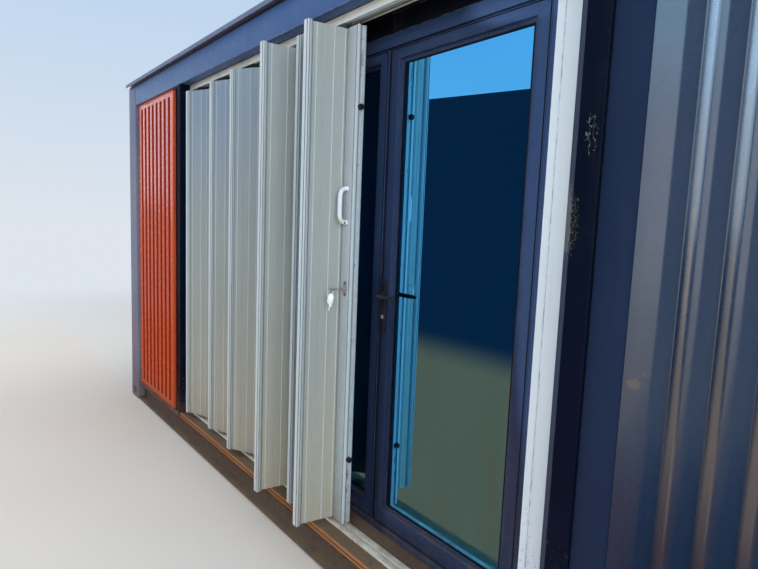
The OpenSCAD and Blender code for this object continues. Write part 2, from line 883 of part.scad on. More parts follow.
// White channel at the right: the closing post slides into its pocket
module shutter_channel() {
  bottom = floor_top + guide_h;
  color("#d8d5cb") placed()
    translate([right_post_x - channel_l, track_front, bottom])
      linear_extrude(head_z - track_h - bottom)
        difference() {
          square([channel_l, track_b]);
          translate([-1, channel_t]) square([pocket_l + 1, track_b - 2 * channel_t]);
          translate([seam_x, -1]) square([seam_b, seam_b + 1]);
        }
}

// Blades that run inwards to the right, seen from the right
module shutter_blades_in() {
  color("#cfd0c6") placed()
    translate([0, 0, blade_bottom])
      linear_extrude(blade_top - blade_bottom)
        for (i = [0 : len(inner_folds) - 1])
          blade_profile(outer_folds[i], inner_folds[i], -1);
}

// Blades that run outwards to the right, and the short starter blade at the jamb
module shutter_blades_out() {
  color("#cfd0c6") placed()
    translate([0, 0, blade_bottom])
      linear_extrude(blade_top - blade_bottom) {
        for (i = [1 : len(inner_folds) - 1])
          blade_profile(outer_folds[i], inner_folds[i - 1], 1);
        blade_profile(outer_folds[0], jamb_fold, 1);
      }
}

module shutter_outer_posts() {
  color("#dcdad0") placed()
    for (p = outer_folds)
      translate([p[0], p[1], blade_bottom]) linear_extrude(blade_top - blade_bottom) outer_post_profile();
}

module shutter_inner_posts() {
  color("#dcdad0") placed() {
    for (p = inner_folds)
      translate(p) {
        translate([0, 0, blade_bottom]) cylinder(h = blade_top - blade_bottom, r = inner_r);
        hangers();
      }
    translate([jamb_fold[0], jamb_fold[1], blade_bottom])
      cylinder(h = blade_top - blade_bottom, r = inner_r);
  }
}

// Closing post: a grooved box with a lock recess and two bumpers
module shutter_closer() {
  color("#c9c6b4") placed() {
    translate([closer_x, closer_y, blade_bottom])
      linear_extrude(blade_top - blade_bottom)
        difference() {
          square([closer_l, closer_d]);
          translate([closer_l - 3 * closer_groove, -1]) square([closer_groove, closer_groove + 1]);
          translate([closer_l - closer_groove, (closer_d - closer_recess) / 2])
            square([closer_groove + 1, closer_recess]);
        }
    translate([closer_x + closer_l / 2, track_y, 0]) hangers();
    for (z = [blade_bottom + bumper_low, blade_top - bumper_high])
      translate([closer_x + closer_l - closer_groove, closer_y + closer_d / 2, z])
        rotate([0, 90, 0]) cylinder(h = bumper_l + closer_groove, r = bumper_r);
  }
}

// Handle: two feet, two round bends and a straight grip
module shutter_handle() {
  color("#efefec") placed()
    translate([closer_x + handle_x, closer_y, handle_low]) {
      for (s = [0, 1])
        translate([0, 0, s * handle_h]) mirror([0, 0, s]) {
          translate([0, -handle_out + handle_bend, 0])
            rotate([-90, 0, 0]) cylinder(h = handle_out - handle_bend, r = handle_r);
          translate([0, -handle_out + handle_bend, handle_bend])
            rotate([0, -90, 0]) rotate(180)
              rotate_extrude(angle = 90) translate([handle_bend, 0]) circle(handle_r);
        }
      translate([0, -handle_out, handle_bend]) cylinder(h = handle_h - 2 * handle_bend, r = handle_r);
    }
}

// Lock: round body, key rod, and a ring with two keys
module shutter_lock() {
  color("#b9b6ac") placed()
    translate([closer_x + closer_l / 2, closer_y, lock_z]) {
      rotate([90, 0, 0]) cylinder(h = lock_out, r = lock_r);
      rotate([90, 0, 0]) cylinder(h = lock_arm_l, r = lock_arm_r);
      translate([0, -lock_arm_l + 2 * lock_arm_r, -key_ring_r]) {
        rotate([0, 90, 0]) rotate_extrude() translate([key_ring_r, 0]) circle(key_wire_r, $fn = 16);
        for (s = [-1, 1])
          translate([0, 0, key_bow_r / 2 - key_ring_r])
            rotate([0, s * key_spread, 0]) rotate(s * key_spread) key_shape();
      }
    }
}

// Flat key with a round bow and a blade, hanging down from its bow's top
module key_shape() {
  translate([0, key_t / 2, -key_bow_r])
    rotate([90, 0, 0])
      linear_extrude(key_t) {
        circle(key_bow_r);
        translate([-key_bow_r / 4, -key_l + key_bow_r]) square([key_bow_r / 2, key_l - key_bow_r]);
      }
}

corner_front_left();
corner_front_right();
corner_back_left();
corner_back_right();
bottom_rail_front();
bottom_rail_back();
bottom_rail_left();
bottom_rail_right();
top_rail_front();
top_rail_back();
top_rail_left();
top_rail_right();
floor_joists();
floor_deck();
sill_plate();
ceiling_panel();
roof_panel();
front_wall();
back_wall();
left_wall();
right_wall();
bay_wall();
ribbed_panel();
left_door_post();
right_door_post();
door_surround();
door_frame();
fixed_glass();
left_leaf();
left_leaf_glass();
right_leaf();
right_leaf_glass();
lever_plates();
door_lever();
shutter_top_track();
shutter_bottom_track();
shutter_left_jamb();
shutter_channel();
shutter_blades_in();
shutter_blades_out();
shutter_outer_posts();
shutter_inner_posts();
shutter_closer();
shutter_handle();
shutter_lock();
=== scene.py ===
import contextlib
import logging
import math
from abc import ABC, abstractmethod
from collections.abc import Callable, Iterator, Sequence
from dataclasses import dataclass, replace
from enum import Enum
from functools import lru_cache, reduce

import bmesh
import bpy
from mathutils import Matrix, Vector


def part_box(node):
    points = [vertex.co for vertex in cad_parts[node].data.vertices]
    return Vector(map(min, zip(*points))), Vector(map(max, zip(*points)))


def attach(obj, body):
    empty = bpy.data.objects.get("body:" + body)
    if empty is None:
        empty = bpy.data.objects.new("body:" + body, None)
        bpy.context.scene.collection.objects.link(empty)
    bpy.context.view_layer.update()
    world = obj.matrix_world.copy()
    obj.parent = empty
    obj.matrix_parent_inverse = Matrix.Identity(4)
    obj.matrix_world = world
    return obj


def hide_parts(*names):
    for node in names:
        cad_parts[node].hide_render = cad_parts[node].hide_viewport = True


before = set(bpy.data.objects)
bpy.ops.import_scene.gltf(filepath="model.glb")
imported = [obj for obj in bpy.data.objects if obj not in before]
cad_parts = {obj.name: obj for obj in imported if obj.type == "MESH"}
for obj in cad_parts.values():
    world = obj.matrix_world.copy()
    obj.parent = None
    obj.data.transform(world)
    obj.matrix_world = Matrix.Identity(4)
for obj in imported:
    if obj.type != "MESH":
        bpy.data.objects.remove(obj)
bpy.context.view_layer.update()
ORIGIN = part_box("corner_front_left")[0]
LOG = logging.getLogger("container_cabin")

Tone = tuple[float, float, float]
Socket = bpy.types.NodeSocket
Piece = bpy.types.Object

FORWARD = Vector((0, -1, 0))
BACKWARD = Vector((0, 1, 0))
RIGHTWARD = Vector((1, 0, 0))
UPWARD = Vector((0, 0, 1))
MERGE = 1e-5
LATHE_MERGE = 2e-5
BEND_LEAST = math.radians(18)
BEND_MOST = math.radians(60)
SHARP_LEAST = math.radians(30)
LONG_LEAST = 0.02
UPRIGHT_LENGTH = 0.2
UPRIGHT_SHARE = 0.99
COAT_ROUGHNESS = 0.12
GLASS_IOR = 1.52
SENSOR_WIDTH = 36.0
EVEN = (1.0, 1.0, 1.0)
SPOT_EDGE = 1.05


def at(x: float, y: float, z: float) -> Vector:
    """Place in the frame of a point given on the cabin's plan.

    Args:
        x: Distance from the cabin's left end, in metres.
        y: Distance behind the front plane, in metres.
        z: Height above the ground, in metres.

    Returns:
        The point in the shared frame.
    """
    return Vector((ORIGIN.x + x, ORIGIN.y + y, z))


def linear(tone: Tone) -> tuple[float, float, float, float]:
    """Linear colour of a tone given as it looks on a screen.

    Args:
        tone: Red, green and blue from 0 to 255.

    Returns:
        The linear colour with full alpha.
    """
    parts = [c / 255 for c in tone]
    red, green, blue = (c / 12.92 if c <= 0.04045 else ((c + 0.055) / 1.055) ** 2.4 for c in parts)
    return red, green, blue, 1.0


def scaled(tone: Tone, share: float) -> Tone:
    """A tone made darker or lighter.

    Args:
        tone: Red, green and blue from 0 to 255.
        share: What each is multiplied by, up to 255.

    Returns:
        The new tone.
    """
    red, green, blue = (min(255.0, part * share) for part in tone)
    return red, green, blue


# ---------------------------------------------------------------- finishes


@dataclass(frozen=True)
class ScarAndLightPatch:
    """Damaged or stained place on a painted face, or a patch of painted light or painted shade.

    Fields: plan place, half sizes in metres, tone, share of the tone, raggedness, grain of the edge,
    lines a metre where the scar is only a tangle of thin scratches, and width of the fade at its edge.
    """

    place: Tone
    reach: Tone
    tone: Tone
    share: float = 0.9
    ragged: float = 2.2
    grain: float = 60.0
    lines: float = 0.0
    soft: float = 0.25


class Wiring:
    """Small helper that wires one node tree."""

    def __init__(self, owner: bpy.types.ID) -> None:
        """Starts with an empty tree.

        Args:
            owner: Material or world that the tree belongs to.
        """
        owner.use_nodes = True
        self.tree = owner.node_tree
        self.tree.nodes.clear()

    def node(self, kind: str, entries: dict[str | int, object] | None = None, **settings: object) -> bpy.types.Node:
        """Adds a node.

        Args:
            kind: Type of the node without its prefix.
            entries: Values or sockets for its inputs, by name or number.
            settings: Values of its properties.

        Returns:
            The node.
        """
        made = self.tree.nodes.new(f"ShaderNode{kind}")
        for name, value in settings.items():
            setattr(made, name, value)
        for entry, value in (entries or {}).items():
            self.feed(made.inputs[entry], value)
        return made

    def feed(self, entry: Socket, value: object) -> None:
        """Links a socket to an entry, or sets the entry to a plain value.

        Args:
            entry: Input socket.
            value: Output socket, number, vector or colour.
        """
        if isinstance(value, bpy.types.NodeSocket):
            self.tree.links.new(value, entry)
        else:
            entry.default_value = value

    def op(self, kind: str, *values: object) -> Socket:
        """Adds a Math node.

        Args:
            kind: Operation of the node.
            values: Values or sockets that it works on.

        Returns:
            The result's socket.
        """
        return self.node("Math", dict(enumerate(values)), operation=kind).outputs[0]

    def times(self, first: object, second: object) -> Socket:
        """Product of two values."""
        return self.op("MULTIPLY", first, second)

    def most(self, *values: object) -> Socket:
        """Highest of several values."""
        return reduce(lambda first, second: self.op("MAXIMUM", first, second), values)

    def vector(self, kind: str, *values: object, out: str = "Vector") -> Socket:
        """Adds a Vector Math node.

        Args:
            kind: Operation of the node.
            values: Vectors or sockets that it works on.
            out: Name of the output that is used.

        Returns:
            The result's socket.
        """
        return self.node("VectorMath", dict(enumerate(values)), operation=kind).outputs[out]

    def band(self, value: object, low: float, high: float, top: float = 1.0) -> Socket:
        """Rises smoothly from 0 to a top between two values.

        Args:
            value: Socket that is read.
            low: Value at which the result is 0.
            high: Value at which the result reaches the top.
            top: Highest result.

        Returns:
            The result's socket.
        """
        return self.node("MapRange", {0: value, 1: low, 2: high, 4: top}, interpolation_type="SMOOTHSTEP").outputs[0]

    def thread(self, pattern: Socket, wide: float, narrow: float, top: float = 1.0) -> Socket:
        """Thin lines where a noise passes its middle.

        Args:
            pattern: The noise's socket.
            wide: Distance from the middle at which a line ends.
            narrow: Distance at which it reaches the top.
            top: Highest result.

        Returns:
            The lines' socket.
        """
        return self.band(self.op("ABSOLUTE", self.op("SUBTRACT", pattern, 0.5)), wide, narrow, top)

    def blend(self, share: object, first: object, second: object) -> Socket:
        """Mixes two colours.

        Args:
            share: Share of the second colour.
            first: Colour or socket.
            second: Colour or socket.

        Returns:
            The mixed colour's socket.
        """
        return self.node("Mix", {0: share, 6: first, 7: second}, data_type="RGBA").outputs[2]

    def tint(self, share: object, colour: object, tone: Tone) -> Socket:
        """Mixes a tone into a colour.

        Args:
            share: Share of the tone.
            colour: Colour's socket.
            tone: The tone as it looks on a screen.

        Returns:
            The mixed colour's socket.
        """
        return self.blend(share, colour, linear(tone))

    def rays(self) -> Socket:
        """1 on the rays that show a picture: those of the camera, of gloss and through glass."""
        path = self.node("LightPath").outputs
        return self.most(path["Is Camera Ray"], path["Is Glossy Ray"], path["Is Transmission Ray"])


class Graph(Wiring):
    """Wires one material, with its patterns on Object coordinates."""

    def __init__(self, name: str) -> None:
        """Starts a material with a Principled shader.

        Args:
            name: Name of the material.
        """
        self.material = bpy.data.materials.new(name)
        super().__init__(self.material)
        self.shader = self.node("BsdfPrincipled")
        self.surface = self.node("OutputMaterial", {"Surface": self.shader.outputs[0]}).inputs["Surface"]
        texture = self.node("TexCoord")
        self.place = texture.outputs["Object"]
        self.height = self.node("SeparateXYZ", {0: self.place}).outputs["Z"]
        self.level = self.node("SeparateXYZ", {0: texture.outputs["Normal"]}).outputs["Z"]

    def shade(self, entries: dict[str, object]) -> None:
        """Feeds the inputs of the material's shader.

        Args:
            entries: Values or sockets, by the input's name.
        """
        for entry, value in entries.items():
            self.feed(self.shader.inputs[entry], value)

    def stretched(self, stretch: Tone, shift: float) -> Socket:
        """Object coordinates scaled along the axes and moved by a seed."""
        return self.vector("MULTIPLY_ADD", self.place, stretch, (shift, shift * 1.7, shift * 2.3))

    def noise(self, scale: float, detail: float = 3.0, rough: float = 0.55, stretch: Tone = EVEN,
              shift: float = 0.0) -> Socket:
        """Adds a Noise texture.

        Args:
            scale: Spots a metre.
            detail: Octaves.
            rough: Weight of the finer octaves.
            stretch: Scale along each axis.
            shift: Seed that moves the pattern.

        Returns:
            The noise's socket, about 0.3 to 0.7.
        """
        place = self.stretched(stretch, shift)
        return self.node("TexNoise", {"Vector": place, "Scale": scale, "Detail": detail, "Roughness": rough}).outputs[0]

    def cells(self, scale: float, shift: float) -> Socket:
        """Distance to the nearest of scattered points, for chips and specks.

        Args:
            scale: Points a metre.
            shift: Seed that moves the pattern.

        Returns:
            The distance's socket.
        """
        return self.node("TexVoronoi", {"Vector": self.stretched(EVEN, shift), "Scale": scale}).outputs["Distance"]

    def mark(self, name: str) -> Socket:
        """Reads a piece's own attribute, which is 0 where a piece has none."""
        return self.node("Attribute", attribute_name=name).outputs["Fac"]

    def bump(self, height: object, depth: float, strength: float, under: Socket | None = None) -> Socket:
        """Adds a Bump node.

        Args:
            height: Height's socket.
            depth: Depth in metres of a height of 1.
            strength: Strength of the bump.
            under: Normal that this bump lies on.

        Returns:
            The normal's socket.
        """
        node = self.node("Bump", {"Strength": strength, "Distance": depth, "Height": height})
        if under is not None:
            self.feed(node.inputs["Normal"], under)
        return node.outputs[0]

    def spot(self, patch: ScarAndLightPatch, shift: float) -> Socket:
        """Ragged spot on the surface: 1 inside, 0 outside.

        Args:
            patch: The scar, stain or patch of painted light or shade that the spot shows.
            shift: Seed of the noise that eats into its edge.

        Returns:
            The spot's socket.
        """
        away = self.vector("SUBTRACT", self.place, at(*patch.place))
        length = self.vector("LENGTH", self.vector("DIVIDE", away, patch.reach), out="Value")
        noisy = self.times(self.op("SUBTRACT", self.noise(patch.grain, 5.0, 0.7, shift=shift), 0.5), patch.ragged)
        return self.band(self.op("ADD", length, noisy), SPOT_EDGE, SPOT_EDGE - patch.soft)


class Finish(ABC):
    """A surface finish that can make its own material."""

    name: str

    @abstractmethod
    def wire(self, graph: Graph) -> None:
        """Wires the finish's nodes into a new material.

        Args:
            graph: Helper that holds the material.
        """

    def material(self) -> bpy.types.Material:
        """The finish's material, made once."""
        return made_material(self)


@lru_cache(maxsize=None)
def made_material(finish: Finish) -> bpy.types.Material:
    """Makes the material of a finish once and remembers it.

    Args:
        finish: The finish.

    Returns:
        Its material.
    """
    graph = Graph(finish.name)
    finish.wire(graph)
    return graph.material


@dataclass(frozen=True)
class Paint(Finish):
    """Paint on steel: clouds, grain, dirt runs, dust, rust specks, worn edges, scars, patches of painted light and
    shade, painted highlights on marked ridges, painted shade in marked grooves, and a skin of peel.
    """

    name: str
    colour: Tone
    faded: Tone
    clouds: float = 0.45
    roughness: tuple[float, float] = (0.32, 0.5)
    runs: float = 0.25
    run_tone: Tone = (120, 112, 100)
    foot: float = 0.35
    foot_share: float = 0.55
    foot_tone: Tone = (112, 96, 78)
    dust: float = 0.5
    rust: float = 0.3
    rust_tone: Tone = (112, 62, 34)
    wear: float = 0.6
    wear_tone: Tone = (150, 150, 148)
    peel: float = 0.0002
    sway: float = 0.0015
    sway_scale: float = 2.4
    scratches: float = 0.25
    scratch_tone: Tone = (165, 168, 172)
    coat: float = 0.0
    specular: float = 0.4
    # Tone of the painted highlight on marked ridges, and tone of the painted shade in marked grooves and creases.
    painted_highlight_tone: Tone = (196, 206, 208)
    painted_shade_tone: Tone = (60, 60, 62)
    scars_and_light_patches: tuple[ScarAndLightPatch, ...] = ()

    def wire(self, graph: Graph) -> None:
        """Wires the paint.

        Args:
            graph: Helper that holds the material.
        """
        g = graph
        fine = g.noise(26.0, 5.0, 0.65, shift=1.0)
        colour = g.blend(g.band(g.noise(1.6, 4.0, 0.55), 0.34, 0.7, self.clouds), linear(self.colour),
                         linear(self.faded))
        colour = g.tint(g.band(fine, 0.5, 0.72, self.clouds * 0.5), colour, self.faded)
        colour = g.tint(g.band(g.noise(420.0, 2.0, 0.6, shift=3.0), 0.52, 0.72, 0.35), colour,
                        scaled(self.colour, 0.86))
        streaks = g.noise(30.0, 3.0, 0.6, stretch=(1.0, 1.0, 0.035), shift=5.0)
        run = g.times(g.band(streaks, 0.52, 0.74, self.runs), g.band(g.noise(3.0, 3.0, 0.6, shift=7.0), 0.38, 0.62))
        colour = g.tint(run, colour, self.run_tone)
        low = g.op("ADD", g.height, g.times(g.op("SUBTRACT", fine, 0.5), self.foot * 1.2))
        foot = g.band(low, self.foot, 0.02, self.foot_share)
        splash = g.times(g.band(g.cells(55.0, 2.0), 0.26, 0.12, 0.75), g.band(low, self.foot * 2.4, 0.1))
        colour = g.tint(g.most(foot, splash), colour, self.foot_tone)
        settled = g.times(g.band(g.level, 0.35, 0.95),
                          g.band(g.noise(9.0, 5.0, 0.65, shift=9.0), 0.25, 0.7, self.dust))
        colour = g.tint(settled, colour, self.foot_tone)
        rusted = g.times(g.band(g.cells(38.0, 11.0), 0.14, 0.05),
                         g.band(g.noise(5.0, 4.0, 0.7, shift=13.0), 0.56, 0.7, self.rust))
        colour = g.tint(rusted, colour, self.rust_tone)
        mars = g.noise(16.0, 6.0, 0.8, stretch=(1.0, 1.0, 3.5), shift=15.0)
        scratch = g.times(g.thread(mars, 0.007, 0.002, self.scratches),
                          g.band(g.noise(2.2, 2.0, 0.5, shift=17.0), 0.56, 0.66))
        colour = g.tint(scratch, colour, self.scratch_tone)
        worn = g.times(g.mark("wear"), g.band(g.noise(34.0, 6.0, 0.75, shift=19.0), 0.42, 0.62, self.wear))
        colour = g.tint(worn, colour, self.wear_tone)
        # Scars and stains, and patches of painted light and painted shade that make a face lighter or darker by place.
        for index, patch in enumerate(self.scars_and_light_patches):
            spot = g.spot(patch, 21.0 + index)
            if patch.lines:
                tangle = g.noise(patch.lines, 2.0, 0.5, stretch=(1.0, 1.0, 0.45), shift=27.0 + index)
                spot = g.times(spot, g.thread(tangle, 0.016, 0.006))
            colour = g.tint(g.times(spot, patch.share), colour, patch.tone)
        # Painted shade darkens the faces marked in grooves and creases; painted highlights lighten the faces marked on
        # ribs, noses and edges.
        grime = g.mark("grime")
        colour = g.tint(grime, g.tint(g.mark("ridge"), colour, self.painted_highlight_tone), self.painted_shade_tone)
        smooth, rough = self.roughness
        span = g.op("MULTIPLY_ADD", g.band(fine, 0.3, 0.75), rough - smooth, smooth)
        dirt = g.most(foot, grime, settled, run, rusted)
        normal = g.bump(g.noise(self.sway_scale, 2.0, 0.4, shift=23.0), self.sway, 1.0)
        normal = g.bump(g.noise(210.0, 2.0, 0.5, shift=25.0), self.peel, 0.5, normal)
        g.shade({"Base Color": colour, "Roughness": g.op("MULTIPLY_ADD", dirt, 0.38, span),
                 "Specular IOR Level": self.specular, "Coat Weight": self.coat, "Coat Roughness": COAT_ROUGHNESS,
                 "Normal": g.bump(g.most(worn, rusted), -0.0004, 0.6, normal)})


@dataclass(frozen=True)
class BareMetal(Finish):
    """Plated or bare metal with fine scratches, dull patches and dirt."""

    name: str
    colour: Tone
    dirt_tone: Tone = (92, 80, 66)
    dirt: float = 0.45
    roughness: tuple[float, float] = (0.24, 0.5)
    grain: Tone = (1.0, 1.0, 12.0)
    metal: float = 1.0

    def wire(self, graph: Graph) -> None:
        """Wires the metal.

        Args:
            graph: Helper that holds the material.
        """
        g = graph
        patches = g.noise(38.0, 5.0, 0.65)
        lines = g.noise(520.0, 3.0, 0.6, stretch=self.grain, shift=2.0)
        colour = g.tint(g.band(lines, 0.35, 0.7, 0.25), linear(self.colour), scaled(self.colour, 0.78))
        dirty = g.band(patches, 0.48, 0.72, self.dirt)
        colour = g.tint(dirty, colour, self.dirt_tone)
        colour = g.tint(g.times(g.mark("wear"), 0.5), colour, scaled(self.colour, 1.12))
        smooth, rough = self.roughness
        dull = g.most(dirty, g.band(lines, 0.3, 0.8, 0.6))
        g.shade({"Base Color": colour, "Metallic": self.metal,
                 "Roughness": g.op("MULTIPLY_ADD", dull, rough - smooth, smooth),
                 "Normal": g.bump(lines, 0.00008, 0.5, g.bump(patches, 0.0002, 0.5))})


@dataclass(frozen=True)
class Rubber(Finish):
    """Rubber or moulded plastic: dull skin, fine pores, dust in patches and stains."""

    name: str
    colour: Tone
    dust_tone: Tone = (120, 112, 100)
    dust: float = 0.35
    roughness: tuple[float, float] = (0.5, 0.72)
    pores: float = 0.00008
    specular: float = 0.5
    stains: tuple[ScarAndLightPatch, ...] = ()

    def wire(self, graph: Graph) -> None:
        """Wires the rubber.

        Args:
            graph: Helper that holds the material.
        """
        g = graph
        patches = g.noise(22.0, 5.0, 0.65, stretch=(1.0, 1.0, 0.5))
        pores = g.noise(900.0, 2.0, 0.5, shift=4.0)
        colour = g.tint(g.band(pores, 0.4, 0.7, 0.4), linear(self.colour), scaled(self.colour, 0.8))
        dusty = g.band(patches, 0.46, 0.74, self.dust)
        settled = g.band(g.level, 0.5, 0.95, self.dust * 0.9)
        colour = g.tint(settled, g.tint(dusty, colour, self.dust_tone), self.dust_tone)
        for index, patch in enumerate(self.stains):
            colour = g.tint(g.times(g.spot(patch, 31.0 + index), patch.share), colour, patch.tone)
        smooth, rough = self.roughness
        g.shade({"Base Color": colour, "Specular IOR Level": self.specular,
                 "Roughness": g.op("MULTIPLY_ADD", g.most(dusty, settled), rough - smooth, smooth),
                 "Normal": g.bump(pores, self.pores, 0.6)})


@dataclass(frozen=True)
class Glazing(Finish):
    """Blue mirror glass: reflective film with a faint tint, slight unevenness, dust low down and wiped streaks."""

    name: str
    colour: Tone
    deep: Tone
    dust_tone: Tone = (120, 116, 104)

    def wire(self, graph: Graph) -> None:
        """Wires the glass.

        Args:
            graph: Helper that holds the material.
        """
        g = graph
        colour = g.tint(g.band(g.noise(1.3, 2.0, 0.5), 0.35, 0.7, 0.6), linear(self.colour), self.deep)
        film = g.noise(5.0, 5.0, 0.6, stretch=(1.0, 1.0, 0.3), shift=3.0)
        dust = g.times(g.band(film, 0.42, 0.75, 0.5), g.band(g.height, 1.5, 0.3))
        specks = g.times(g.band(g.cells(70.0, 5.0), 0.13, 0.07, 0.6),
                         g.band(g.noise(4.0, 3.0, 0.6, shift=6.0), 0.52, 0.66))
        dirt = g.most(dust, g.times(specks, g.band(g.height, 2.0, 0.4)))
        g.shade({"Base Color": g.tint(g.times(dirt, 0.45), colour, self.dust_tone), "Metallic": 0.96,
                 "Transmission Weight": 0.9, "IOR": GLASS_IOR, "Roughness": g.op("MULTIPLY_ADD", dirt, 0.35, 0.012),
                 "Normal": g.bump(g.noise(1.7, 1.0, 0.3, shift=8.0), 0.0006, 1.0)})


@dataclass(frozen=True)
class StudioCard(Finish):
    """Card that glows with a plain dark tone turning to another tone at its foot; only gloss and mirrors see it, so it
    paints reflections.
    """

    name: str = "studio_card"
    colour: Tone = (22, 44, 62)
    foot: Tone = (196, 118, 82)

    def wire(self, graph: Graph) -> None:
        """Wires the card.

        Args:
            graph: Helper that holds the material.
        """
        g = graph
        colour = g.tint(g.band(g.height, 0.02, 0.4), linear(self.foot), self.colour)
        g.feed(g.surface, g.node("Emission", {0: colour}).outputs[0])


@dataclass(frozen=True)
class Board(Finish):
    """Fibrous board or ply: fibres along one axis, flecks, scuffs and dust."""

    name: str
    colour: Tone
    deep: Tone
    fibre: Tone = (0.06, 1.0, 1.0)
    scuff: float = 0.4
    scuff_tone: Tone = (136, 126, 110)
    roughness: tuple[float, float] = (0.55, 0.8)

    def wire(self, graph: Graph) -> None:
        """Wires the board.

        Args:
            graph: Helper that holds the material.
        """
        g = graph
        fibres = g.noise(160.0, 4.0, 0.65, stretch=self.fibre)
        colour = g.tint(g.band(fibres, 0.35, 0.68), linear(self.colour), self.deep)
        scuffs = g.band(g.noise(7.0, 6.0, 0.7, shift=3.0), 0.5, 0.72, self.scuff)
        colour = g.tint(scuffs, colour, self.scuff_tone)
        colour = g.tint(g.band(g.cells(120.0, 5.0), 0.16, 0.08, 0.4), colour, scaled(self.deep, 0.6))
        colour = g.tint(g.times(g.mark("wear"), 0.5), colour, scaled(self.colour, 1.25))
        smooth, rough = self.roughness
        g.shade({"Base Color": colour, "Roughness": g.op("MULTIPLY_ADD", scuffs, rough - smooth, smooth),
                 "Normal": g.bump(fibres, 0.0004, 0.7)})


@dataclass(frozen=True)
class StudioFloor(Finish):
    """Plain pale floor of the studio."""

    name: str = "studio_floor"
    colour: Tone = (205, 203, 198)
    far: Tone = (222, 229, 236)
    fade_start: float = 4.5
    fade_end: float = 11.0

    def wire(self, graph: Graph) -> None:
        """Wires the floor.

        Args:
            graph: Helper that holds the material.
        """
        g = graph
        soft = g.band(g.noise(0.8, 3.0, 0.5), 0.3, 0.7, 0.5)
        g.shade({"Base Color": g.tint(soft, linear(self.colour), scaled(self.colour, 0.975)), "Roughness": 0.9})
        away = g.band(g.vector("LENGTH", g.place, out="Value"), self.fade_start, self.fade_end)
        far = g.node("Emission", {0: linear(self.far)})
        mixed = g.node("MixShader", {0: g.times(g.rays(), away), 1: g.shader.outputs[0], 2: far.outputs[0]})
        g.feed(g.surface, mixed.outputs[0])


# The large soft patch makes the navy steel lighter towards the cabin's left end: painted light.
NAVY = Paint("navy_steel", (60, 88, 136), (76, 104, 150), runs=0.2, specular=0.16,
             scars_and_light_patches=(ScarAndLightPatch((0.0, 0.0, 2.5), (2.2, 1.5, 4.0), (100, 126, 166), 0.6, 0.1, 2.0, soft=1.0),))
# The corner steel's greyer, pinker faded tone is dust and fade, and partly a painted reflection of the ground.
CORNER = Paint("corner_steel", (90, 100, 130), (124, 124, 136), clouds=0.6, runs=0.3, run_tone=(140, 130, 122),
               specular=0.16)
# The large dark patch at the foot of the wall is painted shade; the two small brown patches are stains.
WALL = Paint("wall_steel", (20, 38, 62), (26, 46, 72), roughness=(0.25, 0.3), runs=0.05, foot=0.15, coat=0.1,
             specular=0.36, wear=0.1, clouds=0.35, rust=0.1, scratches=0.08, peel=0.00006, sway=0.002, sway_scale=1.8,
             scars_and_light_patches=(ScarAndLightPatch((5.2, 0.0, 0.0), (9.0, 9.0, 1.15), (6, 13, 28), 0.85, 0.1, 2.0, soft=1.0),
                    ScarAndLightPatch((4.285, 0.006, 1.186), (0.017, 0.05, 0.014), (76, 66, 60), 0.6, 1.6, 70.0),
                    ScarAndLightPatch((4.31, 0.006, 1.215), (0.008, 0.04, 0.005), (76, 66, 60), 0.45, 1.6, 90.0)))
# The thin light strip down the post's left edge is a painted highlight; the other patches are scrapes and scratches.
POST = Paint("post_steel", (5, 12, 28), (8, 16, 35), roughness=(0.4, 0.55), runs=0.02, specular=0.05, scratches=0.04,
             wear=0.08, wear_tone=(70, 80, 100),
             scars_and_light_patches=(ScarAndLightPatch((4.079, 0.0, 1.4), (0.01, 0.03, 12.0), (56, 63, 82), 0.8, 0.3, 10.0),
                    ScarAndLightPatch((4.078, 0.0, 1.57), (0.013, 0.03, 0.09), (84, 86, 90), 0.75, 1.8, 90.0),
                    ScarAndLightPatch((4.098, 0.0, 1.565), (0.012, 0.03, 0.075), (8, 10, 16), 0.9, 1.6, 90.0),
                    ScarAndLightPatch((4.096, 0.0, 1.565), (0.014, 0.03, 0.08), (120, 122, 128), 0.7, 1.6, 90.0, 160.0),
                    ScarAndLightPatch((4.124, 0.0, 1.785), (0.02, 0.03, 0.06), (9, 13, 22), 0.7, 1.6, 60.0),
                    ScarAndLightPatch((4.124, 0.0, 1.785), (0.018, 0.03, 0.058), (150, 158, 170), 0.42, 1.6, 80.0, 84.0)))
BAR = replace(POST, name="wall_bar_steel", colour=(22, 35, 60), faded=(28, 42, 68), specular=0.12, scratches=0.0,
              wear=0.0, rust=0.0, scars_and_light_patches=())
BASE = Paint("base_steel", (34, 36, 44), (50, 50, 56), roughness=(0.4, 0.62), foot=0.2, foot_share=0.45, rust=0.8,
             wear=0.8, wear_tone=(110, 78, 54), dust=0.75)
ROOF = Paint("roof_steel", (84, 98, 130), (100, 112, 142), roughness=(0.34, 0.55), runs=0.15, dust=0.45, rust=0.35)
# Near-black steel for the opening's surround and the bay wall behind the red panel: the tone is painted shade.
SHADED_STEEL = Paint("dark_steel", (5, 8, 21), (9, 12, 27), roughness=(0.38, 0.55), runs=0.1, specular=0.2, rust=0.1)
RED = Paint("red_steel", (182, 73, 40), (196, 94, 58), clouds=0.4, roughness=(0.22, 0.32), runs=0.15,
            run_tone=(110, 46, 32), specular=0.05, wear_tone=(196, 110, 84), rust=0.2, sway=0.0004, peel=0.00002,
            scratches=0.05, painted_shade_tone=(122, 32, 22))
# The sill's brown is dust and rust, and partly a painted warm reflection of the sunlit ground.
SILL = Paint("sill_steel", (80, 66, 52), (104, 88, 72), clouds=0.7, roughness=(0.5, 0.75), foot=0.2, foot_share=0.3,
             rust=0.9, dust=0.6, wear_tone=(186, 132, 84), scratches=0.6)
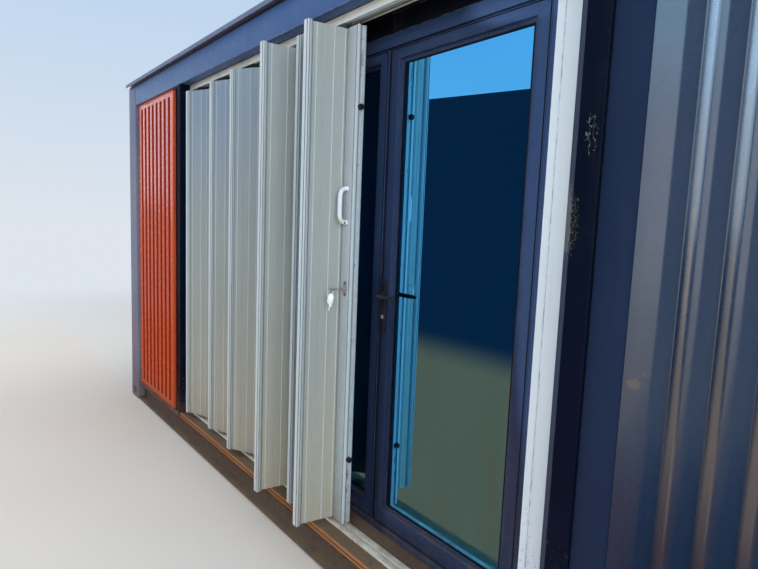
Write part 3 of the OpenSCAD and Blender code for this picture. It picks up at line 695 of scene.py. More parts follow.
# The trims' orange is a painted warm reflection of the sunlit ground along the sill's edges.
TRIM = Paint("edge_trim", (176, 104, 52), (196, 132, 78), clouds=0.7, roughness=(0.38, 0.6), foot=0.05,
             foot_share=0.1, rust=0.8, wear_tone=(220, 170, 120), wear=0.8)
# The lighter patches on the right stile and along the head are painted light, the dark patch low at the meeting stiles
# is painted shadow, and the light tone of the worn edges is partly a painted edge highlight.
DOOR = Paint("door_aluminium", (34, 50, 80), (43, 60, 92), specular=0.25, roughness=(0.34, 0.5), runs=0.15, rust=0.0,
             peel=0.00012, wear_tone=(92, 100, 120), wear=0.35, sway=0.0004, foot=0.3, foot_share=0.4,
             scars_and_light_patches=(ScarAndLightPatch((3.9, 0.21, 1.75), (0.13, 0.2, 1.1), (62, 88, 134), 0.65, 0.5, 3.0),
                    ScarAndLightPatch((3.87, 0.21, 2.3), (0.4, 0.2, 0.11), (68, 93, 138), 0.75, 0.4, 3.0),
                    ScarAndLightPatch((3.06, 0.21, 0.7), (0.14, 0.2, 0.75), (12, 20, 38), 0.5, 0.6, 3.0)))
TRACK = Paint("track_paint", (214, 214, 204), (196, 192, 178), roughness=(0.36, 0.55), runs=0.35,
              run_tone=(140, 130, 112), foot=0.22, foot_share=0.35, wear_tone=(120, 112, 100), sway=0.0004,
              scratches=0.5)
CHANNEL = Paint("channel_paint", (206, 219, 230), (196, 208, 218), roughness=(0.34, 0.5), runs=0.3,
                run_tone=(150, 146, 132), foot=0.4, foot_share=0.3, wear_tone=(120, 128, 146), sway=0.0008)
# The blades' grey, darker than the fold posts' paint of the same cream, is painted shade; the warm patch low down is a
# painted reflection of the ground, and the bluish patch high on the left is a painted reflection of the sky.
SHUTTER = Paint("shutter_paint", (146, 154, 154), (136, 146, 148), clouds=0.6, painted_highlight_tone=(184, 198, 202),
                painted_shade_tone=(86, 98, 108), roughness=(0.34, 0.5), runs=0.4, run_tone=(128, 122, 106), foot=0.5,
                foot_share=0.35, wear_tone=(130, 126, 114), sway=0.0012, coat=0.1, sway_scale=3.0,
                scars_and_light_patches=(ScarAndLightPatch((2.3, 0.0, 0.0), (4.0, 4.0, 1.6), (158, 152, 130), 0.6, 0.1, 2.0, soft=1.0),
                       ScarAndLightPatch((1.6, 0.0, 2.6), (1.3, 4.0, 1.3), (118, 142, 172), 0.75, 0.1, 2.0, soft=1.0)))
# The warm patch low down is a painted reflection of the ground, and the darker strip down the sixth outer fold post is
# painted shade.
FOLD = Paint("shutter_post_paint", (172, 182, 186), (160, 172, 176), clouds=0.5, painted_highlight_tone=(192, 208, 218),
             painted_shade_tone=(108, 122, 136), roughness=(0.3, 0.46), runs=0.35, run_tone=(132, 124, 108), foot=0.5,
             foot_share=0.35, wear_tone=(142, 138, 124), sway=0.0006,
             scars_and_light_patches=(ScarAndLightPatch((2.3, 0.0, 0.0), (4.0, 4.0, 1.5), (164, 162, 150), 0.5, 0.1, 2.0, soft=1.0),
                    ScarAndLightPatch((2.7325, -0.02, 1.27), (0.03, 0.03, 9.0), (120, 132, 142), 0.6, 0.3, 20.0)))
# The long darker band in the edge's recess is painted shade; the small brown spots are stains.
CLOSER = Paint("closer_paint", (164, 174, 180), (152, 164, 170), clouds=0.55, painted_highlight_tone=(184, 200, 208),
               painted_shade_tone=(106, 118, 124), roughness=(0.34, 0.5), runs=0.4, run_tone=(122, 112, 94), foot=0.6,
               foot_share=0.4, wear_tone=(116, 110, 98), sway=0.0006,
               scars_and_light_patches=(ScarAndLightPatch((3.03, 0.0865, 1.27), (0.02, 0.0048, 9.0), (104, 114, 112), 0.8, 0.4, 40.0),
                      ScarAndLightPatch((3.034, 0.092, 0.44), (0.006, 0.008, 0.03), (70, 60, 50), 0.8, 3.0, 160.0),
                      ScarAndLightPatch((3.034, 0.088, 0.37), (0.006, 0.006, 0.02), (70, 60, 50), 0.8, 3.0, 160.0),
                      ScarAndLightPatch((3.034, 0.094, 2.2), (0.006, 0.006, 0.05), (80, 68, 54), 0.7, 3.4, 160.0)))
CREAM = Paint("cream_bead", (214, 200, 160), (198, 184, 146), roughness=(0.4, 0.6), wear=0.2, foot=0.3)
CEILING = Board("ceiling_board", (196, 195, 188), (182, 181, 174), (1.0, 0.5, 1.0), 0.12)
DECK = Board("floor_board", (112, 84, 58), (84, 60, 42), (0.05, 1.0, 1.0), 0.45)
SCREW = BareMetal("screw_metal", (150, 146, 138), dirt=0.6)
HANGER = BareMetal("hanger_brass", (168, 132, 78), dirt=0.5, roughness=(0.3, 0.5))
LOCK = BareMetal("lock_metal", (172, 168, 162), dirt=0.5, metal=0.6)
KEY = BareMetal("key_metal", (236, 238, 236), dirt=0.1, roughness=(0.2, 0.34), metal=0.35)
BLACK = Rubber("black_metal", (22, 24, 30), dust=0.08, roughness=(0.3, 0.5))
GASKET = Rubber("gasket_rubber", (11, 12, 18), dust=0.06, specular=0.2)
BUMPER = Rubber("bumper_rubber", (10, 12, 17), dust=0.06, roughness=(0.6, 0.8))
SEALANT = Rubber("seam_sealant", (5, 7, 12), dust=0.0, roughness=(0.7, 0.9), specular=0.05)
# A yellowish stain on the lower foot, and a darker brown patch where the foot meets the post.
HANDLE = Rubber("handle_plastic", (206, 214, 226), dust=0.06, roughness=(0.3, 0.45), pores=0.00004,
                stains=(ScarAndLightPatch((2.993, 0.04, 1.549), (0.014, 0.014, 0.013), (196, 184, 116), 0.62, 2.2, 160.0),
                        ScarAndLightPatch((2.997, 0.058, 1.538), (0.01, 0.012, 0.008), (168, 128, 78), 0.5, 2.0, 120.0)))
GLASS = Glazing("mirror_glass", (96, 200, 255), (88, 192, 250))


# ---------------------------------------------------------------- bench


class Kind(Enum):
    """Element that a selection works on."""

    VERT = "verts"
    EDGE = "edges"
    FACE = "faces"


class EdgeChoice(Enum):
    """Which sharp edges of a steel piece are rounded."""

    SHARP = "every sharp edge"
    LONG = "sharp edges longer than a few centimetres"
    CREST = "upright edges that point outwards"
    VALLEY = "upright edges that point inwards"


class Bench:
    """Modelling steps shared by the sub-assemblies."""

    @staticmethod
    def solo(piece: Piece) -> None:
        """Selects one piece alone and makes it active."""
        bpy.ops.object.select_all(action="DESELECT")
        piece.select_set(True)
        bpy.context.view_layer.objects.active = piece

    @staticmethod
    def take(name: str) -> Piece:
        """Names the primitive that was just added and puts its place into its mesh.

        Args:
            name: Name of the piece.

        Returns:
            The piece, at the origin.
        """
        piece = bpy.context.object
        piece.name = name
        piece.data.name = name
        return Bench.settle(piece)

    @staticmethod
    def settle(piece: Piece) -> Piece:
        """Puts a piece's place, turn and scale into its mesh.

        Args:
            piece: The piece.

        Returns:
            The piece, at the origin.
        """
        Bench.solo(piece)
        bpy.ops.object.transform_apply(location=True, rotation=True, scale=True)
        return piece

    @staticmethod
    @contextlib.contextmanager
    def editing(piece: Piece) -> Iterator[None]:
        """Edit mode on one piece with nothing selected.

        Args:
            piece: The piece that is edited.
        """
        Bench.solo(piece)
        bpy.ops.object.mode_set(mode="EDIT")
        bpy.ops.mesh.select_all(action="DESELECT")
        yield
        bpy.ops.object.mode_set(mode="OBJECT")

    @staticmethod
    def outward(merge: float = 0.0) -> None:
        """Turns every face of the edited piece outwards.

        Args:
            merge: Distance under which vertices are merged first, or 0.
        """
        bpy.ops.mesh.select_all(action="SELECT")
        if merge:
            bpy.ops.mesh.remove_doubles(threshold=merge)
        bpy.ops.mesh.normals_make_consistent(inside=False)

    @staticmethod
    def pick(piece: Piece, kind: Kind, test: Callable[[Vector, Vector], bool]) -> int:
        """Selects the elements of the edited piece that pass a test.

        Args:
            piece: Piece in edit mode.
            kind: Vertices, edges or faces.
            test: Called with an element's middle and its normal (an edge's direction).

        Returns:
            How many elements are selected.
        """
        bpy.ops.mesh.select_mode(type=kind.name)
        bpy.ops.mesh.select_all(action="DESELECT")
        shape = bmesh.from_edit_mesh(piece.data)
        count = 0
        for part in getattr(shape, kind.value):
            if kind is Kind.VERT:
                middle, way = part.co, part.normal
            elif kind is Kind.EDGE:
                first, second = (v.co for v in part.verts)
                middle, way = (first + second) / 2, second - first
            else:
                middle, way = part.calc_center_median(), part.normal
            if test(middle, way):
                part.select_set(True)
                count += 1
        shape.select_flush_mode()
        bmesh.update_edit_mesh(piece.data)
        return count

    @staticmethod
    def mark(piece: Piece, name: str, share: Callable[[Vector, Vector], float]) -> Piece:
        """Writes a share on each face, which the finish reads under a name.

        Args:
            piece: The piece.
            name: Name of the face attribute.
            share: Gives the share from a face's centre and normal.

        Returns:
            The piece.
        """
        layer = piece.data.attributes.new(name, "FLOAT", "FACE")
        layer.data.foreach_set("value", [share(face.center, face.normal) for face in piece.data.polygons])
        return piece

    @staticmethod
    def tube(name: str, stations: Sequence[tuple[Vector, float]], steps: int = 10) -> Piece:
        """Bent bar with a round section whose radius changes on its way.

        Args:
            name: Name of the piece.
            stations: Points of its middle line with the radius at each.
            steps: Points between two stations.

        Returns:
            The bar as a closed mesh.
        """
        bpy.ops.object.select_all(action="DESELECT")
        bpy.ops.curve.primitive_bezier_curve_add(location=(0, 0, 0))
        path = bpy.context.object.data
        line = path.splines[0]
        line.bezier_points.add(len(stations) - 2)
        for knot, (spot, radius) in zip(line.bezier_points, stations):
            knot.co, knot.radius = spot, radius
            knot.handle_left_type = knot.handle_right_type = "AUTO"
        path.resolution_u, path.bevel_depth, path.bevel_resolution, path.use_fill_caps = steps, 1.0, 5, True
        bpy.ops.object.convert(target="MESH")
        piece = Bench.take(name)
        with Bench.editing(piece):
            Bench.outward(MERGE)
        return piece

    @staticmethod
    def bevel(piece: Piece, width: float, segments: int = 2, angle: float = 30.0) -> None:
        """Rounds the sharp edges of a piece with a Bevel modifier that is then applied.

        Args:
            piece: The piece.
            width: Width of the bevel in metres.
            segments: Steps of the round.
            angle: Smallest angle in degrees that is rounded.
        """
        Bench.solo(piece)
        step = piece.modifiers.new("round", "BEVEL")
        step.width = width
        step.segments = segments
        step.limit_method = "ANGLE"
        step.angle_limit = math.radians(angle)
        step.harden_normals = False
        bpy.ops.object.modifier_apply(modifier=step.name)

    @staticmethod
    def stadium(x: float, y: float, low: float, high: float, half: float) -> list[Vector]:
        """Upright outline with round ends.

        Args:
            x: Plan place of its middle.
            y: Plan place of its face.
            low: Height of the lower end's centre.
            high: Height of the upper end's centre.
            half: Radius of the ends.

        Returns:
            The outline's points.
        """
        turns = [(centre, start + math.pi * step / 8)
                 for centre, start in ((high, 0.0), (low, math.pi)) for step in range(9)]
        return [at(x + half * math.cos(turn), y, centre + half * math.sin(turn)) for centre, turn in turns]

    @staticmethod
    def bar(name: str, low: Vector, high: Vector, edge: float = 0.001, segments: int = 2) -> Piece:
        """Straight bar with rounded edges.

        Args:
            name: Name of the piece.
            low: Lowest corner.
            high: Highest corner.
            edge: Width of the rounding.
            segments: Steps of the round.

        Returns:
            The bar.
        """
        bpy.ops.mesh.primitive_cube_add(size=1.0, location=(low + high) / 2)
        piece = bpy.context.object
        piece.scale = high - low
        piece = Bench.take(name)
        if edge > 0:
            Bench.bevel(piece, edge, segments)
        return piece

    @staticmethod
    def thread(name: str, points: Sequence[Vector]) -> Piece:
        """Chain of edges drawn by extruding one vertex from point to point.

        Args:
            name: Name of the piece.
            points: Points of the chain.

        Returns:
            The chain, with its vertices selected at the last point.
        """
        bpy.ops.object.select_all(action="DESELECT")
        bpy.ops.mesh.primitive_plane_add(size=0.001, location=points[0])
        piece = Bench.take(name)
        with Bench.editing(piece):
            bpy.ops.mesh.select_mode(type="VERT")
            bpy.ops.mesh.select_all(action="SELECT")
            bpy.ops.mesh.merge(type="CENTER")
            for start, end in zip(points, points[1:]):
                bpy.ops.mesh.extrude_vertices_move(TRANSFORM_OT_translate={"value": end - start})
        return piece

    @staticmethod
    def extrusion(name: str, outline: Sequence[Vector], run: Vector, edge: float = 0.0, segments: int = 2,
                  angle: float = 30.0) -> Piece:
        """Straight profile: an outline filled to a face and extruded along a run.

        Args:
            name: Name of the piece.
            outline: Corners of the closed outline, in order.
            run: Direction and length of the profile.
            edge: Width of the rounding of its sharp edges.
            segments: Steps of the round.
            angle: Smallest angle in degrees that is rounded.

        Returns:
            The profile.
        """
        piece = Bench.thread(name, [*outline, outline[0]])
        with Bench.editing(piece):
            bpy.ops.mesh.select_all(action="SELECT")
            bpy.ops.mesh.remove_doubles(threshold=MERGE)
            bpy.ops.mesh.select_all(action="SELECT")
            bpy.ops.mesh.edge_face_add()
            bpy.ops.mesh.extrude_region_move(TRANSFORM_OT_translate={"value": run})
            Bench.outward()
        if edge > 0:
            Bench.bevel(piece, edge, segments, angle)
        return piece

    @staticmethod
    def lathe(name: str, profile: Sequence[tuple[float, float]], base: Vector, axis: Vector, steps: int = 16) -> Piece:
        """Turned piece: a profile of radius and height spun round an axis.

        Args:
            name: Name of the piece.
            profile: Radius and height of each point, from the foot's middle to the top's middle.
            base: Where height 0 of the axis lies.
            axis: Direction of the axis.
            steps: Facets round the axis.

        Returns:
            The turned piece.
        """
        piece = Bench.thread(name, [Vector((r, 0.0, h)) for r, h in profile])
        with Bench.editing(piece):
            bpy.ops.mesh.select_all(action="SELECT")
            bpy.ops.mesh.spin(steps=steps, angle=math.tau, center=(0, 0, 0), axis=UPWARD)
            Bench.outward(LATHE_MERGE)
        piece.rotation_euler = axis.to_track_quat("Z", "Y").to_euler()
        piece.location = base
        return Bench.settle(piece)

    @staticmethod
    def ring(name: str, low: Vector, high: Vector, width: float, edge: float = 0.0) -> Piece:
        """Flat mitred ring that faces the front, such as a gasket round a pane.

        Args:
            name: Name of the piece.
            low: Lowest corner of its outside.
            high: Highest corner of its outside.
            width: Width of the ring's bars.
            edge: Width of the rounding.

        Returns:
            The ring.
        """
        middle = (low + high) / 2
        bpy.ops.mesh.primitive_plane_add(size=1.0, location=(middle.x, low.y, middle.z), rotation=(math.pi / 2, 0, 0))
        bpy.context.object.scale = (high.x - low.x, high.z - low.z, 1.0)
        piece = Bench.take(name)
        with Bench.editing(piece):
            bpy.ops.mesh.select_mode(type="FACE")
            bpy.ops.mesh.select_all(action="SELECT")
            bpy.ops.mesh.inset(thickness=width)
            bpy.ops.mesh.delete(type="FACE")
            bpy.ops.mesh.select_all(action="SELECT")
            bpy.ops.mesh.extrude_region_move(TRANSFORM_OT_translate={"value": Vector((0, high.y - low.y, 0))})
            Bench.outward()
        if edge > 0:
            Bench.bevel(piece, edge, 2)
        return piece

    @staticmethod
    def bead(name: str, start: Vector, end: Vector, radius: float, lumps: int, seed: int) -> Piece:
        """Weld bead: a thin rod in short lengths whose rings are jogged in and out.

        Args:
            name: Name of the piece.
            start: One end.
            end: Other end.
            radius: Radius of the bead.
            lumps: Number of short lengths.
            seed: Seed of the unevenness.

        Returns:
            The bead.
        """
        run = end - start
        bpy.ops.mesh.primitive_cylinder_add(vertices=6, radius=radius, depth=run.length, location=(start + end) / 2,
                                            rotation=run.to_track_quat("Z", "Y").to_euler())
        piece = Bench.take(name)
        way = run.normalized()
        with Bench.editing(piece):
            Bench.pick(piece, Kind.EDGE, lambda _, d: abs(d.normalized().dot(way)) > 0.9)
            bpy.ops.mesh.subdivide(number_cuts=lumps)
            bpy.ops.mesh.select_all(action="SELECT")
            bpy.ops.transform.vertex_random(offset=radius * 0.22, uniform=0.4, normal=0.6, seed=seed)
        return piece

    @staticmethod
    def repeat(piece: Piece, moves: Sequence[Matrix]) -> Piece:
        """Copies a piece to several places and joins the copies, the piece itself left out.

        Args:
            piece: The pattern piece.
            moves: Where each copy goes, as a matrix on the pattern's own place.

        Returns:
            One piece that holds every copy.
        """
        copies = []
        for move in moves:
            Bench.solo(piece)
            bpy.ops.object.duplicate(linked=False)
            twin = bpy.context.object
            twin.matrix_world = move
            copies.append(Bench.settle(twin))
        name = piece.name
        bpy.data.objects.remove(piece)
        joined = Bench.join(name, copies)
        if any(move.determinant() < 0 for move in moves):
            with Bench.editing(joined):
                Bench.outward()
        return joined

    @staticmethod
    def join(name: str, pieces: Sequence[Piece]) -> Piece:
        """Joins pieces to one.

        Args:
            name: Name of the result.
            pieces: The pieces.

        Returns:
            The joined piece.
        """
        bpy.ops.object.select_all(action="DESELECT")
        for piece in pieces:
            piece.select_set(True)
        bpy.context.view_layer.objects.active = pieces[0]
        if len(pieces) > 1:
            bpy.ops.object.join()
        whole = bpy.context.view_layer.objects.active
        whole.name = name
        whole.data.name = name
        return whole

    @staticmethod
    def rounded(node: str, width: float, segments: int = 2, choice: EdgeChoice = EdgeChoice.LONG,
                inner: float = 0.0) -> Piece:
        """Copy of a CAD node with its edges rounded and marked as worn.

        Args:
            node: Name of the CAD node.
            width: Width of the rounding in metres.
            segments: Steps of the round.
            choice: Which edges are rounded.
            inner: Width of a second rounding, of the upright edges that point inwards.

        Returns:
            The copy, which stands for the node.
        """
        piece = bpy.data.objects.new(f"{node}_dressed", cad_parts[node].data.copy())
        bpy.context.scene.collection.objects.link(piece)
        piece.data.materials.clear()
        Bench.solo(piece)
        bpy.ops.mesh.customdata_custom_splitnormals_clear()
        with Bench.editing(piece):
            bpy.ops.mesh.select_all(action="SELECT")
            bpy.ops.mesh.remove_doubles(threshold=MERGE)
            bpy.ops.mesh.dissolve_limited(angle_limit=math.radians(1.0))
            if inner:
                Bench.pick_edges(piece, EdgeChoice.VALLEY)
                bpy.ops.mesh.bevel(offset=inner, offset_type="OFFSET", segments=2, affect="EDGES", clamp_overlap=True)
            Bench.pick_edges(piece, choice)
            bpy.ops.mesh.bevel(offset=width, offset_type="OFFSET", segments=segments, affect="EDGES",
                               clamp_overlap=False)
            shape = bmesh.from_edit_mesh(piece.data)
            layer = shape.faces.layers.float.new("wear")
            for face in shape.faces:
                slim = face.calc_area() < width * max(line.calc_length() for line in face.edges)
                face[layer] = 1.0 if face.select and slim and not inner else 0.0
            bmesh.update_edit_mesh(piece.data)
        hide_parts(node)
        return piece

    @staticmethod
    def pick_edges(piece: Piece, choice: EdgeChoice) -> None:
        """Selects the edges of the edited piece that a choice names.

        Args:
            piece: Piece in edit mode.
            choice: Which edges are selected.
        """
        upright = choice in (EdgeChoice.CREST, EdgeChoice.VALLEY)
        bpy.ops.mesh.select_mode(type="EDGE")
        bpy.ops.mesh.select_all(action="DESELECT")
        shape = bmesh.from_edit_mesh(piece.data)
        for line in shape.edges:
            if len(line.link_faces) != 2:
                continue
            run = line.verts[1].co - line.verts[0].co
            angle = line.calc_face_angle(0.0)
            if upright:
                stands = abs(run.z) >= run.length * UPRIGHT_SHARE and run.length >= UPRIGHT_LENGTH
                chosen = stands and BEND_LEAST <= angle <= BEND_MOST and line.is_convex == (choice is EdgeChoice.CREST)
            else:
                chosen = angle >= SHARP_LEAST and not (choice is EdgeChoice.LONG and run.length < LONG_LEAST)
            if chosen:
                line.select_set(True)
        shape.select_flush_mode()
        bmesh.update_edit_mesh(piece.data)


class SubAssembly(ABC):
    """A sub-assembly of the cabin: it builds its pieces and dresses them."""

    @abstractmethod
    def build(self) -> None:
        """Builds and dresses every piece of the sub-assembly."""

    def dress(self, piece: Piece, finish: Finish, slot: str, body: str = "cabin", smooth: float = 35.0) -> Piece:
        """Gives a new piece its finish and body, and reports it.

        Args:
            piece: The piece.
            finish: Its finish.
            slot: Not used.
            body: The body it moves with.
            smooth: Angle in degrees under which faces shade smoothly.

        Returns:
            The piece.
        """
        piece.data.materials.clear()
        piece.data.materials.append(finish.material())
        Bench.solo(piece)
        bpy.ops.object.shade_smooth_by_angle(angle=math.radians(smooth))
        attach(piece, body)
        LOG.info("%s: %s on %s, %d faces", type(self).__name__, piece.name, body, len(piece.data.polygons))
        return piece

    def carry(self, node: str, finish: Finish) -> None:
        """Keeps a CAD node's shape and gives it a finish.

        Args:
            node: Name of the node.
            finish: Its finish.
        """
        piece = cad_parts[node]
        if not piece.data.materials:
            piece.data.materials.append(finish.material())
        for spot in piece.material_slots:
            spot.material = finish.material()
        LOG.info("%s: %s keeps its CAD shape", type(self).__name__, node)

    def screws(self, name: str, places: Sequence[Vector], way: Vector, radius: float, slot: str,
               finish: Finish = SCREW, body: str = "cabin") -> Piece:
        """Round headed screws with a recess, turned once and copied to their places.

        Args:
            name: Name of the piece.
            places: Where each head sits on its surface.
            way: Direction the heads face.
            radius: Radius of a head.
            slot: The record's material slot.
            finish: Finish of the heads.
            body: The body they move with.

        Returns:
            All heads as one piece.
        """
        profile = ((0.0, -0.3), (1.0, -0.3), (1.0, 0.12), (0.8, 0.42), (0.38, 0.56), (0.3, 0.22), (0.0, 0.2))
        head = Bench.lathe(name, [(out * radius, up * radius) for out, up in profile], Vector(), way, 12)
        return self.dress(Bench.repeat(head, [Matrix.Translation(p) for p in places]), finish, slot, body)


# ---------------------------------------------------------------- steel shell


@dataclass
class SteelFrame(SubAssembly):
    """Corner posts, rails, joists and deck of the shell, with their weld beads."""

    length: float = 6.058
    width: float = 2.438
    post_length: float = 0.178
    post_width: float = 0.162
    fitting_height: float = 0.118
    rail_head: float = 2.394
    post_top: float = 2.540
    bead: float = 0.0035
    inset: float = 0.006
    skin: float = 0.001

    def build(self) -> None:
        """Builds the frame."""
        for side in ("front_left", "front_right", "back_left", "back_right"):
            self.dress(Bench.rounded(f"corner_{side}", 0.0018), CORNER, "navy_paint")
        for side in ("front", "back", "left", "right"):
            self.dress(Bench.rounded(f"bottom_rail_{side}", 0.002, choice=EdgeChoice.SHARP), BASE, "base_paint")
            self.dress(Bench.rounded(f"top_rail_{side}", 0.003, choice=EdgeChoice.SHARP), NAVY, "navy_paint")
        self.carry("floor_joists", BASE)
        self.carry("floor_deck", DECK)
        self.welds()

    def welds(self) -> None:
        """Runs weld beads round the corner fittings and down the joints of posts and fascia."""
        beads = []
        for index, (x, sx) in enumerate(((0.0, 1.0), (self.length, -1.0))):
            for step, (y, sy) in enumerate(((0.0, 1.0), (self.width, -1.0))):
                for name, start, end, radius, lumps, shift in self.runs():
                    ends = (at(x + sx * dx, y + sy * dy, z) for dx, dy, z in (start, end))
                    beads.append(Bench.bead(name, *ends, radius, lumps, 10 * index + step + shift))
        self.dress(Bench.join("frame_welds", beads), NAVY, "navy_paint")

    def runs(self) -> tuple[tuple[str, Tone, Tone, float, int, int], ...]:
        """The beads at one corner: name, start, end, radius, lumps and shift of the seed.

        Returns:
            Three beads, with their places inwards from the corner and their heights.
        """
        z, inset, skin = self.fitting_height, self.inset, self.skin
        top = (self.rail_head + 0.004, self.post_top - 0.004)
        return (("fitting_weld", (inset, skin, z), (self.post_length - inset, skin, z), self.bead, 26, 0),
                ("fitting_weld", (skin, inset, z), (skin, self.post_width - inset, z), self.bead, 24, 3),
                ("fascia_weld", (self.post_length, skin, top[0]), (self.post_length, skin, top[1]), 0.0025, 24, 6))


@dataclass
class RoofEdge(SubAssembly):
    """Roof sheet with its folded lip, the ceiling under it, and a black strip below the lip that is painted shadow."""

    left: float = 0.044
    right: float = 6.014
    lip_out: float = 0.033
    lip_bottom: float = 2.540

    def build(self) -> None:
        """Builds the roof's pieces."""
        self.dress(Bench.rounded("roof_panel", 0.0022, choice=EdgeChoice.SHARP), ROOF, "roof_paint")
        self.carry("ceiling_panel", CEILING)
        # A black strip under the lip: painted shadow.
        corners = ((-0.002, 0.0005), (0.0, -0.006), (-0.006, -0.003), (-0.008, 0.0005))
        seam = Bench.extrusion("roof_seam", [at(self.left, y, self.lip_bottom + z) for y, z in corners],
                               Vector((self.right - self.left, 0, 0)))
        self.dress(seam, GASKET, "dark_paint")
        places = [at(0.35 + 0.6 * i, -self.lip_out, self.lip_bottom + 0.013) for i in range(10)]
        self.screws("roof_lip_screws", places, FORWARD, 0.0035, "roof_paint", NAVY)


@dataclass
class Walls(SubAssembly):
    """Corrugated walls with pressed round bends, their welds, and the bay wall."""

    bend: float = 0.006
    crease: float = 0.0004
    wall_left: float = 4.155
    wall_right: float = 5.880
    bar_length: float = 0.103
    low: float = 0.148
    high: float = 2.394

    def build(self) -> None:
        """Builds the walls."""
        for node in ("front_wall", "back_wall", "left_wall", "right_wall"):
            wall = Bench.rounded(node, self.bend, 3, EdgeChoice.CREST, self.crease)
            self.dress(wall, WALL, "wall_paint", smooth=40.0)
        self.carry("bay_wall", SHADED_STEEL)
        plate = Bench.bar("wall_bar_plate", at(self.wall_left + 0.0015, 0.0082, self.low + 0.001),
                          at(self.wall_left + self.bar_length - 0.0005, 0.0105, self.high - 0.001), 0.0008)
        self.dress(plate, BAR, "wall_paint")
        seam = Bench.bead("wall_seam", at(self.wall_left + 0.0015, 0.0078, self.low + 0.01),
                          at(self.wall_left + 0.0015, 0.0078, self.high - 0.01), 0.0022, 160, 4)
        self.dress(seam, SEALANT, "wall_paint")
        start, end = self.wall_left + self.bar_length, self.wall_right - 0.01
        beads = [Bench.bead("wall_weld", at(start, 0.0055, z), at(end, 0.0055, z), 0.003, 120, seed)
                 for z, seed in ((self.high - 0.001, 5), (self.low + 0.001, 6))]
        self.dress(Bench.join("front_wall_welds", beads), WALL, "wall_paint")


@dataclass
class RedBay(SubAssembly):
    """Red ribbed panel, its side flange and the screws along its border."""

    left: float = 0.200
    right: float = 1.000
    face: float = 0.018
    low: float = 0.148
    high: float = 2.394

    def build(self) -> None:
        """Builds the bay's pieces."""
        panel = Bench.rounded("ribbed_panel", 0.0035, 3)
        front = at(0.0, self.face, 0.0).y

        def dirt(c: Vector, n: Vector) -> float:
            """Painted shade between the ribs."""
            return 0.9 if front + 0.0012 < c.y < front + 0.0145 and abs(n.x) < 0.95 else 0.0

        # Darker red on the groove floors and walls: painted shade.
        Bench.mark(panel, "grime", dirt)
        self.dress(panel, RED, "red_paint", smooth=50.0)
        places = [at(x, self.face, z) for z in (self.low + 0.022, self.high - 0.022)
                  for x in (self.left + 0.04, self.left + 0.28, self.left + 0.52, self.right - 0.04)]
        self.screws("panel_screws", places, FORWARD, 0.004, "red_paint", RED)


# ---------------------------------------------------------------- opening


@dataclass
class Surround(SubAssembly):
    """Door posts, fillers, soffit and the sill of the opening with its edge trims."""

    def build(self) -> None:
        """Builds the surround."""
        for node in ("left_door_post", "right_door_post"):
            self.dress(Bench.rounded(node, 0.0018), POST, "post_paint")
        self.dress(Bench.rounded("door_surround", 0.001), SHADED_STEEL, "dark_paint")
        self.dress(Bench.rounded("sill_plate", 0.001), SILL, "sill_paint")
        self.trims()

    def trims(self) -> None:
        """Adds the two orange brown trims along the sill's front edge, whose orange is a painted warm reflection, and
        the screws in the sill.
        """
        low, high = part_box("sill_plate")
        span = Vector((high.x - low.x - 0.004, 0, 0))
        top, front = high.z, low.y
        corners = ((0.0, -0.0045), (-0.003, -0.0035), (-0.004, -0.001), (-0.003, 0.0006), (0.004, 0.0008),
                   (0.006, -0.0002), (0.001, -0.0012))
        for name, z in (("sill_trim_top", top), ("sill_trim_low", top - 0.0205)):
            trim = Bench.extrusion(name, [Vector((low.x + 0.002, front + y, z + h)) for y, h in corners], span)
            self.dress(trim, TRIM, "sill_paint")
        places = [Vector((low.x + 0.12 + 0.33 * i, front + 0.028, top)) for i in range(9)]
        self.screws("sill_screws", places, UPWARD, 0.0045, "sill_paint")


